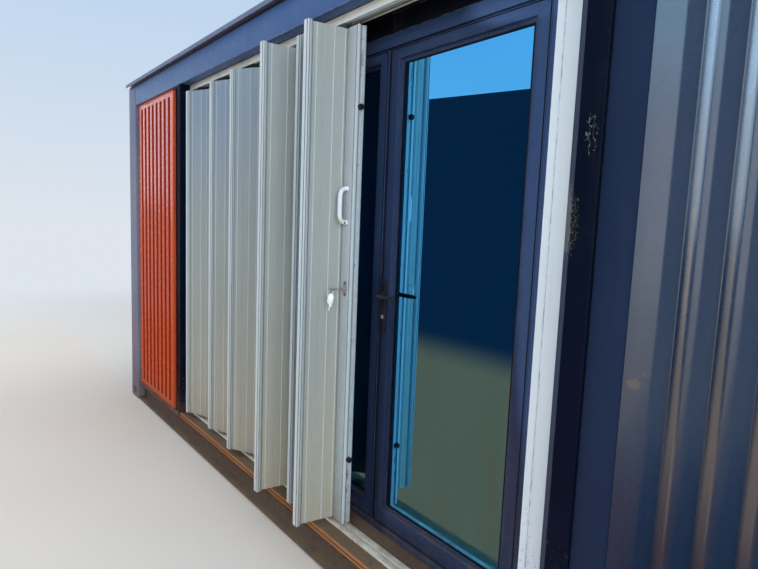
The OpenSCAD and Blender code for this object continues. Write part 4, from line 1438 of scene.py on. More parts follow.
@dataclass
class DoorSet(SubAssembly):
    """Door frame, fixed light, two glazed leaves, gaskets, lever and plates."""

    front: float = 0.205
    leaf_face: float = 0.210
    frame_left: float = 1.341
    frame_right: float = 3.921
    light_left: float = 1.416
    light_right: float = 2.219
    door_left: float = 2.294
    door_middle: float = 3.070
    leaf_length: float = 0.766
    leaf_low: float = 0.216
    leaf_high: float = 2.258
    threshold: float = 0.184
    head: float = 2.315
    stile: float = 0.070
    bead: float = 0.014
    glass_low: float = 0.304
    glass_high: float = 2.198
    glass_face: float = 0.230
    gap: float = 0.005
    lever_x: float = 3.094
    lever_z: float = 1.238
    cylinder_z: float = 1.146
    leaf_depth: float = 0.045
    plate_depth: float = 0.008
    plate_half: float = 0.017

    def build(self) -> None:
        """Builds the door set."""
        self.dress(Bench.rounded("door_frame", 0.0012), DOOR, "door_aluminium")
        for side in ("left", "right"):
            body = f"{side}_door"
            self.dress(Bench.rounded(f"{side}_leaf", 0.0015), DOOR, "door_aluminium", body)
            self.carry(f"{side}_leaf_glass", GLASS)
        self.carry("fixed_glass", GLASS)
        self.leaf_details("left_door", self.door_left + self.gap)
        self.leaf_details("right_door", self.door_middle + self.gap)
        self.frame_details()
        self.plates()
        self.lever()

    def leaf_details(self, body: str, left: float) -> None:
        """Adds a leaf's glazing gasket, outer seal and mitre lines.

        Args:
            body: The leaf's body.
            left: The leaf's left side.
        """
        right = left + self.leaf_length
        face = self.leaf_face
        gasket = Bench.ring(f"{body}_glazing_gasket",
                            at(left + self.stile - 0.0005, self.glass_face - 0.005, self.glass_low - 0.0005),
                            at(right - self.stile + 0.0005, self.glass_face - 0.0003, self.glass_high + 0.0005),
                            0.0065, 0.0012)
        self.dress(gasket, GASKET, "black_metal", body)
        seal = Bench.ring(f"{body}_leaf_seal", at(left + 0.004, face - 0.0015, self.leaf_low + 0.004),
                          at(right - 0.004, face + 0.001, self.leaf_high - 0.004), 0.004, 0.0006)
        self.dress(seal, GASKET, "black_metal", body)
        lines = []
        ends = ((self.leaf_low + 0.009, 1, self.glass_low), (self.leaf_high - 0.009, -1, self.glass_high))
        for x, sx in ((left + 0.009, 1), (right - 0.009, -1)):
            for z, sz, light in ends:
                tip = Vector((sx * (self.stile - self.bead - 0.009), 0, light - sz * self.bead - z))
                start = at(x, face - 0.0002, z)
                side = Vector((tip.z, 0, -tip.x)).normalized() * 0.0004
                corners = [start - side, start + tip - side, start + tip + side, start + side]
                lines.append(Bench.extrusion("mitre", corners, Vector((0, 0.0012, 0))))
        self.dress(Bench.join(f"{body}_mitre_lines", lines), GASKET, "black_metal", body)

    def frame_details(self) -> None:
        """Adds the fixed light's gasket and bead, the threshold's ridges, the meeting seal and the frame's screws."""
        pane = Bench.ring("fixed_light_gasket",
                          at(self.light_left + 0.0005, self.glass_face - 0.0048, self.threshold + 0.0245),
                          at(self.light_right - 0.0005, self.glass_face - 0.0003, self.head - 0.0525), 0.006, 0.001)
        self.dress(pane, GASKET, "black_metal")
        beads = Bench.ring("fixed_light_bead",
                           at(self.light_left + 0.0003, self.front + 0.004, self.threshold + 0.0243),
                           at(self.light_right - 0.0003, self.glass_face - 0.0049, self.head - 0.0523), 0.013, 0.001)
        self.dress(beads, DOOR, "door_aluminium")
        ridges = [Bench.bar("ridge", at(self.frame_left + 0.004, self.front - 0.0012, z - 0.0009),
                            at(self.frame_right - 0.004, self.front + 0.001, z + 0.0009), 0.0005)
                  for z in (0.190, 0.196, 0.202)]
        self.dress(Bench.join("threshold_ridges", ridges), DOOR, "door_aluminium")
        seal = Bench.bar("meeting_seal", at(self.door_middle - 0.005, 0.214, self.leaf_low + 0.002),
                         at(self.door_middle - 0.0005, 0.236, self.leaf_high - 0.002), 0.0012)
        self.dress(seal, GASKET, "black_metal", "left_door")
        places = [at(x, self.front, z) for x in (self.frame_left + 0.02, self.frame_right - 0.02)
                  for z in (0.45, 0.95, 1.55, 2.15)]
        self.screws("frame_screws", places, FORWARD, 0.004, "door_aluminium", DOOR)

    def plates(self) -> None:
        """Replaces the lever plates with plates that have rounded ends, screws and a key cylinder."""
        low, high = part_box("lever_plates")
        whole = Bench.join("lever_plates_dressed", [self.plate(face, way) for face, way in self.sides()])
        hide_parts("lever_plates")
        self.dress(whole, BLACK, "black_metal", "right_door")
        turned = ((0.0, -0.001), (0.0088, -0.001), (0.0088, 0.0012), (0.0078, 0.002), (0.0066, 0.002),
                  (0.0062, 0.0014), (0.0, 0.0014))
        cylinders, heads = [], []
        for face, way in self.sides():
            out = face + way * self.plate_depth
            base = at(self.lever_x, out, self.cylinder_z)
            cylinders.append(Bench.lathe("key_cylinder", turned, base, Vector((0, way, 0)), 20))
            cylinders.append(Bench.bar("key_slot", base + Vector((-0.0008, way * 0.0016 - 0.0006, -0.0045)),
                                       base + Vector((0.0008, way * 0.0016 + 0.0006, 0.0045)), 0.0003))
            heads.extend(at(self.lever_x, out, z) for z in (low.z + 0.014, high.z - 0.014))
        self.dress(Bench.join("key_cylinders", cylinders), LOCK, "lock_metal", "right_door")
        self.screws("plate_screws", heads[:2], FORWARD, 0.0034, "black_metal", SCREW, "right_door")
        self.screws("plate_screws_inside", heads[2:], BACKWARD, 0.0034, "black_metal", SCREW, "right_door")

    def plate(self, face: float, way: float) -> Piece:
        """One plate: an outline with round ends, drawn out from the leaf's face and softened.

        Args:
            face: The leaf's face on that side.
            way: 1 towards the inside, -1 towards the outside.

        Returns:
            The plate.
        """
        low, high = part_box("lever_plates")
        half = self.plate_half
        outline = Bench.stadium(self.lever_x, face, low.z + half, high.z - half, half)
        return Bench.extrusion("plate", outline, Vector((0, way * self.plate_depth, 0)), 0.0016, 3)

    def sides(self) -> tuple[tuple[float, float], ...]:
        """The leaf's two faces: plan place of each and the way it looks."""
        return (self.leaf_face, -1.0), (self.leaf_face + self.leaf_depth, 1.0)

    def lever(self) -> None:
        """Replaces the lever with one that has a collar, a neck and a flattened, tapering grip on each side."""
        low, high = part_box("door_lever")
        reach = high.x - ORIGIN.x
        parts = []
        for leaf, way in self.sides():
            face = leaf + way * 0.009
            out = (ORIGIN.y + face - low.y) if way < 0 else (high.y - ORIGIN.y - face)
            base = at(self.lever_x, face, self.lever_z)
            collar = ((0.0, 0.0), (0.0145, 0.0), (0.0145, 0.004), (0.0125, 0.0065), (0.0, 0.0065))
            parts.append(Bench.lathe("collar", collar, base, Vector((0, way, 0)), 24))
            neck = ((0.0, 0.004), (0.009, 0.004), (0.0085, 0.012), (0.0085, out - 0.012), (0.009, out - 0.006),
                    (0.006, out - 0.001), (0.0, out))
            parts.append(Bench.lathe("neck", neck, base, Vector((0, way, 0)), 20))
            y = face + way * (out - 0.008)
            grip = Bench.bar("grip", at(self.lever_x - 0.009, y - 0.0075, self.lever_z - 0.009),
                             at(reach, y + 0.0075, self.lever_z + 0.009), 0.0)
            with Bench.editing(grip):
                Bench.pick(grip, Kind.EDGE, lambda _, d: abs(d.x) > 0.05)
                bpy.ops.mesh.subdivide(number_cuts=6)
                end = ORIGIN.x + reach
                for share, wide in ((0.72, 0.94), (0.86, 0.9), (1.0, 0.82)):
                    edge_x = low.x + (end - low.x) * share
                    Bench.pick(grip, Kind.VERT, lambda c, _, e=edge_x: c.x > e - 0.012)
                    bpy.ops.transform.resize(value=(1.0, wide, wide), center_override=at(reach, y, self.lever_z))
            Bench.bevel(grip, 0.0055, 4, 40.0)
            parts.append(grip)
        parts.append(Bench.lathe("spindle", [(0.0, 0.0), (0.004, 0.0), (0.004, 0.065), (0.0, 0.065)],
                                 at(self.lever_x, self.leaf_face - 0.01, self.lever_z), BACKWARD, 12))
        whole = Bench.join("door_lever_dressed", parts)
        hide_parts("door_lever")
        self.dress(whole, BLACK, "black_metal", "lever")


# ---------------------------------------------------------------- accordion shutter

OUTER_FOLDS = ((1.283, 0.020), (1.64654, 0.02903), (2.00004, -0.00051), (2.34255, 0.00405),
               (2.54504, -0.09768), (2.73254, -0.01999), (2.92251, -0.09728))
INNER_FOLDS = ((1.463, 0.095), (1.83003, 0.095), (2.17004, 0.095), (2.51504, 0.095),
               (2.57504, 0.095), (2.89003, 0.095), (2.955, 0.095))
JAMB_FOLD = (1.2362, 0.095)
CLOSER_FOLD = (2.9992, 0.095)
PLUG_BLADE = 4


@dataclass
class AccordionShutter(SubAssembly):
    """Folded blades, fold posts and hangers of the shutter."""

    low: float = 0.215
    high: float = 2.335
    width: float = 0.195
    sheet: float = 0.003
    rib_height: float = 0.0026
    outer_radius: float = 0.018
    inner_radius: float = 0.009
    nose: float = 0.010
    ribs: tuple[float, ...] = (0.040, 0.117, 0.166)
    reeds: tuple[float, ...] = (0.0635, 0.0685, 0.0735, 0.0785)

    def build(self) -> None:
        """Builds the shutter's blades and posts."""
        self.blades()
        self.posts()
        self.hangers()
        self.plug()

    def outline(self, reach: float) -> list[Vector]:
        """Outline of a blade seen from above: the outer fold at 0, the outside up.

        Args:
            reach: Distance between the two folds.

        Returns:
            The outline's points in the XY plane at the blades' foot.
        """
        half, rise = self.sheet / 2, self.rib_height
        start, stop = self.outer_radius + 0.0003, reach - self.inner_radius - 0.0003
        points = [(start, half), (start + 0.004, half)]
        bumps = sorted([(c, 0.0034, rise) for c in self.ribs] + [(c, 0.0017, rise * 0.55) for c in self.reeds])
        arch = ((-1.0, 0.0), (-0.62, 0.75), (-0.28, 1.0), (0.28, 1.0), (0.62, 0.75), (1.0, 0.0))
        for centre, wide, tall in bumps:
            if centre + wide <= stop - 0.001:
                points += [(centre + wide * out, half + tall * up) for out, up in arch]
        points += [(stop, half), (stop, -half), (start, -half)]
        return [Vector((x, y, self.low)) for x, y in points]

    def blade(self, name: str, reach: float) -> Piece:
        """Draws one blade with painted highlights on its ribs and painted shade beside the fold.

        Args:
            name: Name of the blade.
            reach: Distance between its two folds.

        Returns:
            The pattern blade, its outer fold at the origin.
        """
        piece = Bench.extrusion(name, self.outline(reach), Vector((0, 0, self.high - self.low)))
        half, edge = self.sheet / 2, self.outer_radius + 0.0043

        def dirt(c: Vector, n: Vector) -> float:
            """Painted shade beside the outer fold and at the foot of the ribs."""
            if c.x < edge and n.y > 0.5:
                return 0.75
            return 0.3 if half + 0.0001 < c.y < half + 0.0007 else 0.0

        # Lighter rib tops are painted highlights; darker faces beside the fold and at the rib feet are painted shade.
        Bench.mark(piece, "ridge", lambda c, n: 0.5 if c.y > half + 0.0017 else 0.2 if c.y > half + 0.0007 else 0.0)
        return Bench.mark(piece, "grime", dirt)

    def place(self, start: tuple[float, float], end: tuple[float, float], mirrored: bool) -> Matrix:
        """Matrix that lays the pattern blade between two folds.

        Args:
            start: Plan place of the outer fold.
            end: Plan place of the inner fold.
            mirrored: True where the outside lies to the right of the way inwards.

        Returns:
            The matrix.
        """
        way = Vector((end[0] - start[0], end[1] - start[1], 0)).normalized()
        side = Vector((way.y, -way.x, 0)) if mirrored else Vector((-way.y, way.x, 0))
        spot = at(start[0], start[1], 0)
        return Matrix(((way.x, side.x, 0, spot.x), (way.y, side.y, 0, spot.y), (0, 0, 1, 0), (0, 0, 0, 1)))

    def blades(self) -> None:
        """Draws one blade, lays copies between the folds and draws the short starter blade."""
        first = self.blade("blades_in", self.width)
        moves = [self.place(o, i, True) for o, i in zip(OUTER_FOLDS, INNER_FOLDS)]
        inward = Bench.repeat(first, moves)
        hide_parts("shutter_blades_in")
        self.dress(inward, SHUTTER, "shutter_paint")
        second = self.blade("blades_out", self.width)
        moves = [self.place(o, i, False) for o, i in zip(OUTER_FOLDS[1:], INNER_FOLDS)]
        outward = Bench.repeat(second, moves)
        starter = self.blade("starter_blade", math.dist(OUTER_FOLDS[0], JAMB_FOLD))
        starter = Bench.repeat(starter, [self.place(OUTER_FOLDS[0], JAMB_FOLD, False)])
        outward = Bench.join("blades_out", [outward, starter])
        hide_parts("shutter_blades_out")
        self.dress(outward, SHUTTER, "shutter_paint")

    def posts(self) -> None:
        """Draws one outer fold post with a flat nose and grooved sides, copies it, and keeps the inner posts."""
        r, nose = self.outer_radius, -self.nose
        edge = [(0.0052, nose), (0.006, nose + 0.0008), (0.006, -0.0054), (0.0126, -0.0054), (0.0126, -0.0088),
                (0.0136, nose), (0.0146, nose)]
        side, back = ([(r * math.cos(math.radians(turn)), r * math.sin(math.radians(turn))) for turn in turns]
                      for turns in ((-28, -20, -13), range(6, 213, 9)))
        edge += [*side, (0.0169, -0.0033), (0.0144, -0.0033), (0.0144, 0.0009), (0.0174, 0.0009), *back]
        outline = [Vector((x, y, self.low)) for x, y in [*edge, (-0.0137, nose)]]
        post = Bench.extrusion("outer_posts", outline, Vector((0, 0, self.high - self.low)))

        def dirt(c: Vector, n: Vector) -> float:
            """Painted shade in the groove and in the step of the post's side."""
            groove = 0.0058 < c.x < 0.0128 and nose + 0.0007 < c.y < -0.0052
            step = 0.0142 < c.x < 0.0168 and -0.0035 < c.y < 0.0011
            return 0.85 if abs(n.z) < 0.5 and (groove or step) else 0.0

        # The darker groove and step are painted shade; the lighter nose is a painted highlight.
        Bench.mark(post, "grime", dirt)
        Bench.mark(post, "ridge", lambda c, n: 0.5 if c.y < nose + 0.0003 and abs(n.z) < 0.5 else 0.0)
        posts = Bench.repeat(post, [Matrix.Translation(at(x, y, 0)) for x, y in OUTER_FOLDS])
        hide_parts("shutter_outer_posts")
        self.dress(posts, FOLD, "shutter_post_paint", smooth=28.0)
        self.carry("shutter_inner_posts", FOLD)

    def hangers(self) -> None:
        """Turns the brass nuts of the hangers and the collars of the lower pins, and copies them to the inner folds."""
        nut = ((0.0031, 0.0002), (0.0085, 0.0002), (0.0088, 0.0016), (0.0062, 0.002), (0.0066, 0.0085),
               (0.0056, 0.0098), (0.0042, 0.0102), (0.0042, 0.0215), (0.0031, 0.022), (0.0031, 0.0002))
        collar = ((0.0031, 0.0), (0.0064, 0.0), (0.007, 0.0012), (0.0064, 0.005), (0.0031, 0.0056), (0.0031, 0.0))
        moves = [Matrix.Translation(at(x, y, 0)) for x, y in (*INNER_FOLDS, CLOSER_FOLD)]
        for name, profile, z, steps in (("hanger_nuts", nut, self.high, 6),
                                        ("guide_collars", collar, self.low - 0.0062, 16)):
            turned = Bench.lathe(name, profile, Vector((0, 0, z)), UPWARD, steps)
            self.dress(Bench.repeat(turned, moves), HANGER, "lock_metal")

    def plug(self) -> None:
        """Adds the small dark plug in the fifth blade."""
        plug = Bench.bar("blade_plug", Vector((0.1735, 0.001, 1.5185)), Vector((0.1815, 0.0042, 1.5335)), 0.0012)
        move = self.place(OUTER_FOLDS[PLUG_BLADE], INNER_FOLDS[PLUG_BLADE], True)
        self.dress(Bench.repeat(plug, [move]), GASKET, "black_metal")


@dataclass
class Tracks(SubAssembly):
    """Top and bottom tracks, the left jamb and the white channel at the right."""

    left: float = 1.191
    right: float = 4.071
    front: float = 0.065
    slot_back: float = 0.101
    top_low: float = 2.360
    channel_left: float = 3.957

    def build(self) -> None:
        """Builds the tracks, jamb and channel."""
        low_track = replace(TRACK, name="low_track_paint", wear=0.95, rust=0.7, dust=0.7, wear_tone=(112, 92, 70))
        for node, width, finish in (("shutter_top_track", 0.0007, TRACK), ("shutter_bottom_track", 0.0007, low_track),
                                    ("shutter_left_jamb", 0.001, TRACK), ("shutter_channel", 0.0012, CHANNEL)):
            self.dress(Bench.rounded(node, width), finish, "track_paint")
        self.lips()
        self.channel_details()

    def lips(self) -> None:
        """Adds the bright outer lip of the top track and the tan lip along its slot."""
        run = Vector((self.right - self.left - 0.004, 0, 0))
        x = self.left + 0.002
        outer = ((-0.0022, 0.0045), (-0.003, 0.003), (-0.003, -0.0005), (-0.0018, -0.0018), (0.004, -0.0018),
                 (0.0042, 0.0003), (0.0, 0.0008), (0.0, 0.0045))
        inner = ((0.0004, 0.0004), (0.0004, -0.0022), (0.003, -0.003), (0.0065, -0.0022), (0.0065, 0.0004))
        for name, corners, place, finish in (("top_track_lip", outer, self.front, CHANNEL),
                                             ("top_slot_lip", inner, self.slot_back, HANGER)):
            outline = [at(x, place + y, self.top_low + z) for y, z in corners]
            self.dress(Bench.extrusion(name, outline, run), finish, "track_paint")

    def channel_details(self) -> None:
        """Adds the cream bead on the channel's right edge and the screws in channel and jamb."""
        bead = Bench.bar("channel_edge_bead", at(self.right - 0.0045, self.front - 0.0016, 0.1965),
                         at(self.right - 0.0003, self.front + 0.002, self.top_low - 0.0005), 0.0009)
        self.dress(bead, CREAM, "track_paint")
        rows = (("channel_screws", self.channel_left + 0.078, (0.42, 0.95, 1.48, 2.02), CHANNEL),
                ("jamb_screws", self.left + 0.014, (0.42, 1.2, 2.02), TRACK))
        for name, x, heights, finish in rows:
            self.screws(name, [at(x, self.front, z) for z in heights], FORWARD, 0.0036, "track_paint", finish)


@dataclass
class ClosingPost(SubAssembly):
    """Closing post with its bumpers, handle and lock."""

    right: float = 3.0342
    front: float = 0.070
    middle: float = 0.0905
    recess: float = 0.004
    bumper_zs: tuple[float, ...] = (0.510, 2.014)
    handle_x: float = 2.9882
    handle_low: float = 1.535
    handle_high: float = 1.690
    lock_x: float = 2.9992
    lock_z: float = 1.262
    arm: float = 0.080
    plate: float = 0.003

    def build(self) -> None:
        """Builds the post and what sits on it."""
        post = Bench.rounded("shutter_closer", 0.0014)
        edge, face = at(self.right, self.front, 0.0).xy

        def dirt(c: Vector, n: Vector) -> float:
            """Painted shade in the groove of the edge."""
            return 0.9 if face + 0.001 < c.y < face + 0.008 and edge - 0.014 < c.x < edge - 0.006 else 0.0

        def highlit_corner(c: Vector, n: Vector) -> float:
            """Painted highlight along the front corner of the edge."""
            return 0.6 if c.x > edge - 0.0085 and c.y < face + 0.0125 and abs(n.z) < 0.5 else 0.0

        # The darker groove is painted shade and the lighter front corner is a painted highlight.
        Bench.mark(post, "grime", dirt)
        Bench.mark(post, "ridge", highlit_corner)
        self.dress(post, CLOSER, "closer_paint")
        self.bumpers()
        self.handle()
        self.lock()

    def bumpers(self) -> None:
        """Caps the bumpers with black rubber and adds the screws of the edge face."""
        dome = ((0.0, 0.0002), (0.0122, 0.0002), (0.0126, 0.0018), (0.0119, 0.0028), (0.0119, 0.0122), (0.0108, 0.0139),
                (0.0082, 0.0148), (0.004, 0.0151), (0.0, 0.0151))
        cap = Bench.lathe("bumper_caps", dome, Vector(), RIGHTWARD, 24)
        caps = Bench.repeat(cap, [Matrix.Translation(at(self.right, self.middle, z)) for z in self.bumper_zs])
        self.dress(caps, BUMPER, "black_metal")
        places = [at(self.right - self.recess, self.middle + 0.0015, z)
                  for z in (0.36, 0.43, 1.042, 1.365, 1.78, 2.14, 2.28)]
        self.screws("closer_screws", places, RIGHTWARD, 0.0034, "lock_metal")

    def handle(self) -> None:
        """Bends the white handle with its two feet on the post and adds the screw of the lower foot."""
        x, face, low, high = self.handle_x, self.front, self.handle_low, self.handle_high
        half = [((0.010, 0.0002, 0.0065), 0.0118), ((0.0085, -0.0035, 0.0068), 0.0116),
                ((0.006, -0.013, 0.0075), 0.0098), ((0.0038, -0.024, 0.0135), 0.0094),
                ((0.003, -0.032, 0.026), 0.0098), ((0.003, -0.0345, 0.047), 0.0102)]
        stations = [(at(x + dx, face + dy, low + dz), radius) for (dx, dy, dz), radius in half]
        stations.append((at(x + 0.003, face - 0.035, (low + high) / 2), 0.0104))
        stations += [(at(x + dx, face + dy, high - dz), radius) for (dx, dy, dz), radius in reversed(half)]
        grip = Bench.tube("shutter_handle_dressed", stations, 6)
        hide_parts("shutter_handle")
        self.dress(grip, HANDLE, "white_plastic", smooth=50.0)
        way = Vector((0.83, -0.56, 0.0))
        places = [at(x + 0.0155, face - 0.0165, low + 0.0065)]
        self.screws("handle_screws", places, way, 0.004, "lock_metal", BLACK)

    def lock(self) -> None:
        """Replaces the lock with an escutcheon, a barrel, a key rod, a ring and two cut keys."""
        x, y, z = self.lock_x, self.front, self.lock_z
        barrel = ((0.0, 0.0), (0.0108, 0.0), (0.0108, 0.009), (0.0098, 0.012), (0.0078, 0.014), (0.0, 0.014))
        rod = ((0.0, 0.0), (0.003, 0.012), (0.003, 0.03), (0.0026, 0.032), (0.0026, 0.074), (0.0032, 0.076),
               (0.003, 0.0795), (0.0, 0.08))
        outline = Bench.stadium(x, y, z - 0.022, z + 0.022, 0.0115)
        head = at(x - 0.0034, y - 0.082, z - 0.0046), at(x + 0.0034, y - 0.053, z + 0.0046)
        parts = [Bench.extrusion("escutcheon", outline, FORWARD * self.plate, 0.0009, 2),
                 Bench.lathe("barrel", barrel, at(x, y, z), FORWARD, 28),
                 Bench.lathe("key_rod", rod, at(x, y, z), FORWARD, 14),
                 Bench.bar("key_head", *head, 0.0028, 3)]
        turns = [math.tau * step / 10 for step in range(11)]
        ring = [(0.013 + 0.0014 * math.cos(turn), 0.0014 * math.sin(turn)) for turn in turns]
        centre = at(x, y - self.arm + 0.006, z - 0.013)
        whole = Bench.join("shutter_lock_dressed", parts)
        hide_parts("shutter_lock")
        self.dress(whole, LOCK, "lock_metal")
        places = [at(x, y - self.plate, z + side * 0.0245) for side in (-1, 1)]
        self.screws("lock_screws", places, FORWARD, 0.0042, "lock_metal", BLACK)
        hoop = Bench.lathe("keys", ring, centre, RIGHTWARD, 28)
        pattern = Bench.extrusion("key_pair", self.key_outline(), Vector((0, 0.002, 0)), 0.0003, 1)
        moves = []
        for drop, tilt, turn in ((-0.0075, -9, 62), (-0.0255, 8, 42)):
            lean = Matrix.Rotation(math.radians(tilt), 4, "Y") @ Matrix.Rotation(math.radians(turn), 4, "Z")
            moves.append(Matrix.Translation(centre + Vector((0, 0, drop))) @ lean)
        self.dress(Bench.join("keys", [hoop, Bench.repeat(pattern, moves)]), KEY, "lock_metal")

    def key_outline(self) -> list[Vector]:
        """Outline of a key that hangs from the origin: a lobed bow, shoulders and a cut blade.

        Returns:
            The outline's points.
        """
        points = []
        for step in range(17):
            turn = math.radians(-62 + 304 * step / 16)
            reach = 0.0135 * (1.0 - 0.07 * math.cos(2 * turn))
            points.append((reach * math.cos(turn), -0.0112 + reach * math.sin(turn)))
        points += [(-0.0046, -0.0262), (-0.0036, -0.0275), (-0.0036, -0.050), (-0.0012, -0.052), (0.001, -0.052),
                   (0.0028, -0.0495), (0.0012, -0.0468), (0.0028, -0.0442), (0.0006, -0.0415), (0.0024, -0.039),
                   (0.0012, -0.0362), (0.003, -0.0335), (0.0036, -0.0275), (0.0046, -0.0262)]
        return [Vector((px, -0.001, pz)) for px, pz in points]


# ---------------------------------------------------------------- studio


@dataclass
class Studio(SubAssembly):
    """Pale floor, pale background, soft lamps and the camera at the photograph's angle."""

    camera_place: Tone = (4.887, -1.286, 1.547)
    right: Tone = (0.62858, 0.77675, 0.03922)
    up: Tone = (-0.11145, 0.04005, 0.99296)
    back: Tone = (0.76972, -0.62853, 0.11174)
    lens: float = 26.03
    horizon_tone: Tone = (222, 229, 236)
    sky_tone: Tone = (150, 196, 242)
    sky_low: float = -0.02
    sky_high: float = 0.7
    light_tone: Tone = (226, 234, 244)
    light_strength: float = 0.42
    floor_radius: float = 30.0
    floor_rim: float = 12.0
    card_left: float = -4.0
    card_right: float = 2.9
    card_place: float = -2.5
    mat_end: float = 3.9
    side_end: float = 9.0

    def build(self) -> None:
        """Builds the studio."""
        self.floor()
        self.card()
        self.world()
        self.lamps()
        self.camera()

    def floor(self) -> None:
        """Lays the floor: a wide flat sheet with a rim round its middle."""
        bpy.ops.object.select_all(action="DESELECT")
        bpy.ops.mesh.primitive_circle_add(vertices=64, radius=self.floor_radius, fill_type="NGON")
        sheet = Bench.take("studio_floor")
        with Bench.editing(sheet):
            bpy.ops.mesh.select_all(action="SELECT")
            bpy.ops.mesh.inset(thickness=self.floor_rim)
        sheet.data.materials.append(StudioFloor().material())

    def card(self) -> None:
        """Stands a glowing dark card before the door's mirror glass, with glowing mats on the floor, as painted
        reflections; the camera doesn't see them.
        """
        left, right, place = self.card_left, self.card_right, self.card_place
        corners = ((left, 0.004), (right, 0.004), (right, 2.717), (left, 3.234))
        sheet = Bench.extrusion("dark_card", [at(x, place, z) for x, z in corners], Vector((0, -0.01, 0)))
        spans = (("floor_mat", left, self.mat_end), ("side_mat", self.mat_end, self.side_end))
        mat, side = (Bench.bar(name, at(start, place - 0.005, 0.002), at(end, 0.05, 0.006))
                     for name, start, end in spans)
        shade = StudioCard("studio_mat", foot=(34, 42, 54))
        for piece, finish in ((Bench.join("dark_card", [sheet, mat]), StudioCard()), (side, shade)):
            piece.data.materials.append(finish.material())
            piece.visible_camera = piece.visible_diffuse = piece.visible_shadow = piece.visible_transmission = False

    def world(self) -> None:
        """Sets a pale sky that the camera, gloss and glass see, and a weaker light on the rest."""
        world = bpy.data.worlds.new("pale_sky")
        bpy.context.scene.world = world
        w = Wiring(world)
        rise = w.node("SeparateXYZ", {0: w.node("TexCoord").outputs["Generated"]}).outputs["Z"]
        share = w.node("MapRange", {0: rise, 1: self.sky_low, 2: self.sky_high}).outputs[0]
        seen = w.node("Background", {0: w.tint(share, linear(self.horizon_tone), self.sky_tone)})
        light = w.node("Background", {0: linear(self.light_tone), 1: self.light_strength})
        mixed = w.node("MixShader", {0: w.rays(), 1: light.outputs[0], 2: seen.outputs[0]})
        w.node("OutputWorld", {0: mixed.outputs[0]})

    def lamps(self) -> None:
        """Places the soft boxes, and the panels that only the gloss of the front wall or the red panel shows."""
        boxes = (("left_softbox", (-6.5, -4.5, 4.0), (2.6, -0.2, 1.3), 5.0, 440.0, (0.97, 0.98, 1.0)),
                 ("right_softbox", (8.5, -8.5, 5.2), (3.0, 0.0, 1.1), 5.0, 400.0, (1.0, 0.985, 0.96)),
                 ("side_softbox", (9.6, -2.6, 3.0), (2.6, 0.0, 1.2), 4.0, 330.0, (0.95, 0.98, 1.0)),
                 ("top_softbox", (3.0, 1.0, 8.0), (3.0, 1.2, 2.0), 6.0, 420.0, (0.97, 0.98, 1.0)),
                 ("back_softbox", (2.0, 9.5, 5.0), (3.0, 2.4, 1.2), 5.0, 520.0, (0.97, 0.98, 1.0)))
        for name, spot, aim, size, power, tone in boxes:
            box = self.lamp(name, spot, aim, size, power, tone)
            box.visible_glossy = False
        shown = {}
        for node in ("front_wall", "ribbed_panel"):
            shown[node] = bpy.data.collections.new(f"{node}_gloss")
            shown[node].objects.link(bpy.data.objects[f"{node}_dressed"])
        panels = (("left_gloss_panel", "front_wall", (-7.0, -2.6, 7.1), (4.4, 0.0, 2.2), (3.8, 5.8), 720.0,
                   (0.4, 0.71, 1.0)),
                  ("middle_gloss_panel", "front_wall", (1.75, -1.9, 3.3), (4.5, 0.0, 3.3), (2.6, 3.4), 240.0,
                   (0.6, 0.8, 1.0)),
                  ("front_gloss_panel", "front_wall", (2.05, -8.0, 7.1), (4.6, 0.0, 2.2), (3.7, 5.8), 480.0,
                   (0.48, 0.8, 1.0)),
                  ("bay_gloss_panel", "ribbed_panel", (-7.0, -2.6, 5.25), (0.6, 0.0, 2.0), (3.0, 7.5), 320.0,
                   (0.52, 0.76, 1.0)),
                  ("left_horizon_panel", "front_wall", (-7.0, -2.6, 2.1), (4.4, 0.0, 1.9), (3.8, 4.2), 250.0,
                   (1.0, 0.85, 0.62)),
                  ("front_horizon_panel", "front_wall", (2.05, -8.0, 2.3), (4.6, 0.0, 2.1), (3.7, 3.8), 165.0,
                   (1.0, 1.0, 0.98)),
                  ("ground_gloss_panel", "front_wall", (-2.9, -4.9, 0.01), (-2.9, -4.9, 4.0), (11.7, 8.6), 780.0,
                   (1.0, 0.84, 0.54)))
        for name, node, spot, aim, (width, height), power, tone in panels:
            box = self.lamp(name, spot, aim, width, power, tone)
            box.data.shape, box.data.size_y = "RECTANGLE", height
            box.visible_diffuse = False
            box.light_linking.receiver_collection = shown[node]

    def lamp(self, name: str, spot: Tone, aim: Tone, size: float, power: float, tone: Tone) -> Piece:
        """Places one soft lamp that the camera doesn't see.

        Args:
            name: Name of the lamp.
            spot: Where it stands on the plan.
            aim: Plan point that it faces.
            size: Width of its face.
            power: Power in watts.
            tone: Colour of its light.

        Returns:
            The lamp.
        """
        light = bpy.data.lights.new(name, "AREA")
        light.shape, light.size, light.energy, light.color = "DISK", size, power, tone
        box = bpy.data.objects.new(name, light)
        bpy.context.scene.collection.objects.link(box)
        box.location = at(*spot)
        box.rotation_euler = (at(*aim) - at(*spot)).to_track_quat("-Z", "Y").to_euler()
        box.visible_camera = False
        return box

    def camera(self) -> None:
        """Sets the camera where the photograph was taken from."""
        lens = bpy.data.cameras.new("photo_camera")
        lens.lens, lens.sensor_width, lens.sensor_fit = self.lens, SENSOR_WIDTH, "HORIZONTAL"
        lens.clip_start, lens.clip_end = 0.05, 200.0
        camera = bpy.data.objects.new("photo_camera", lens)
        bpy.context.scene.collection.objects.link(camera)
        turn = Matrix((self.right, self.up, self.back)).transposed().to_4x4()
        camera.matrix_world = Matrix.Translation(at(*self.camera_place)) @ turn
        bpy.context.scene.camera = camera


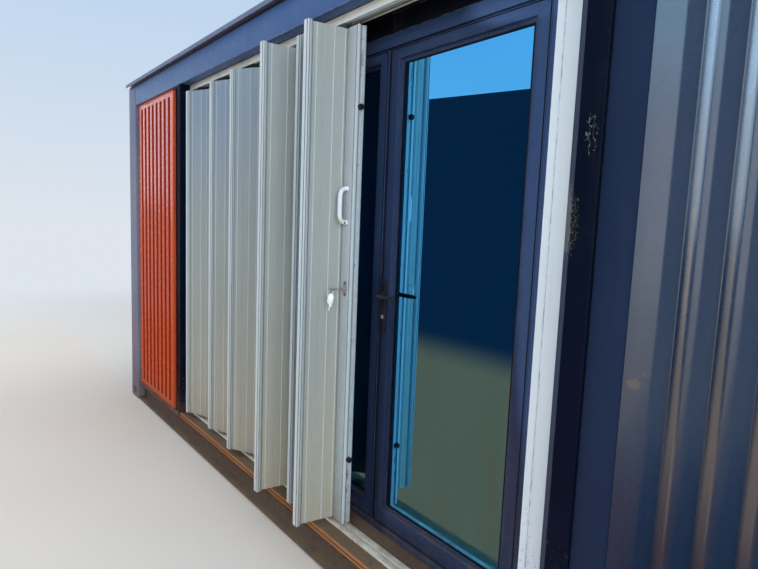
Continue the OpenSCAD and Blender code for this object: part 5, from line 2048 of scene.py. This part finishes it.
def main() -> None:
    """Builds the cabin and the studio in order."""
    logging.basicConfig(level=logging.INFO, format="%(name)s %(message)s")
    bpy.context.scene.view_settings.view_transform = "Standard"
    bpy.ops.object.select_all(action="DESELECT")
    for part in (SteelFrame(), RoofEdge(), Walls(), RedBay(), Surround(), DoorSet(), AccordionShutter(), Tracks(),
                 ClosingPost(), Studio()):
        part.build()


if __name__ == "__main__":
    main()
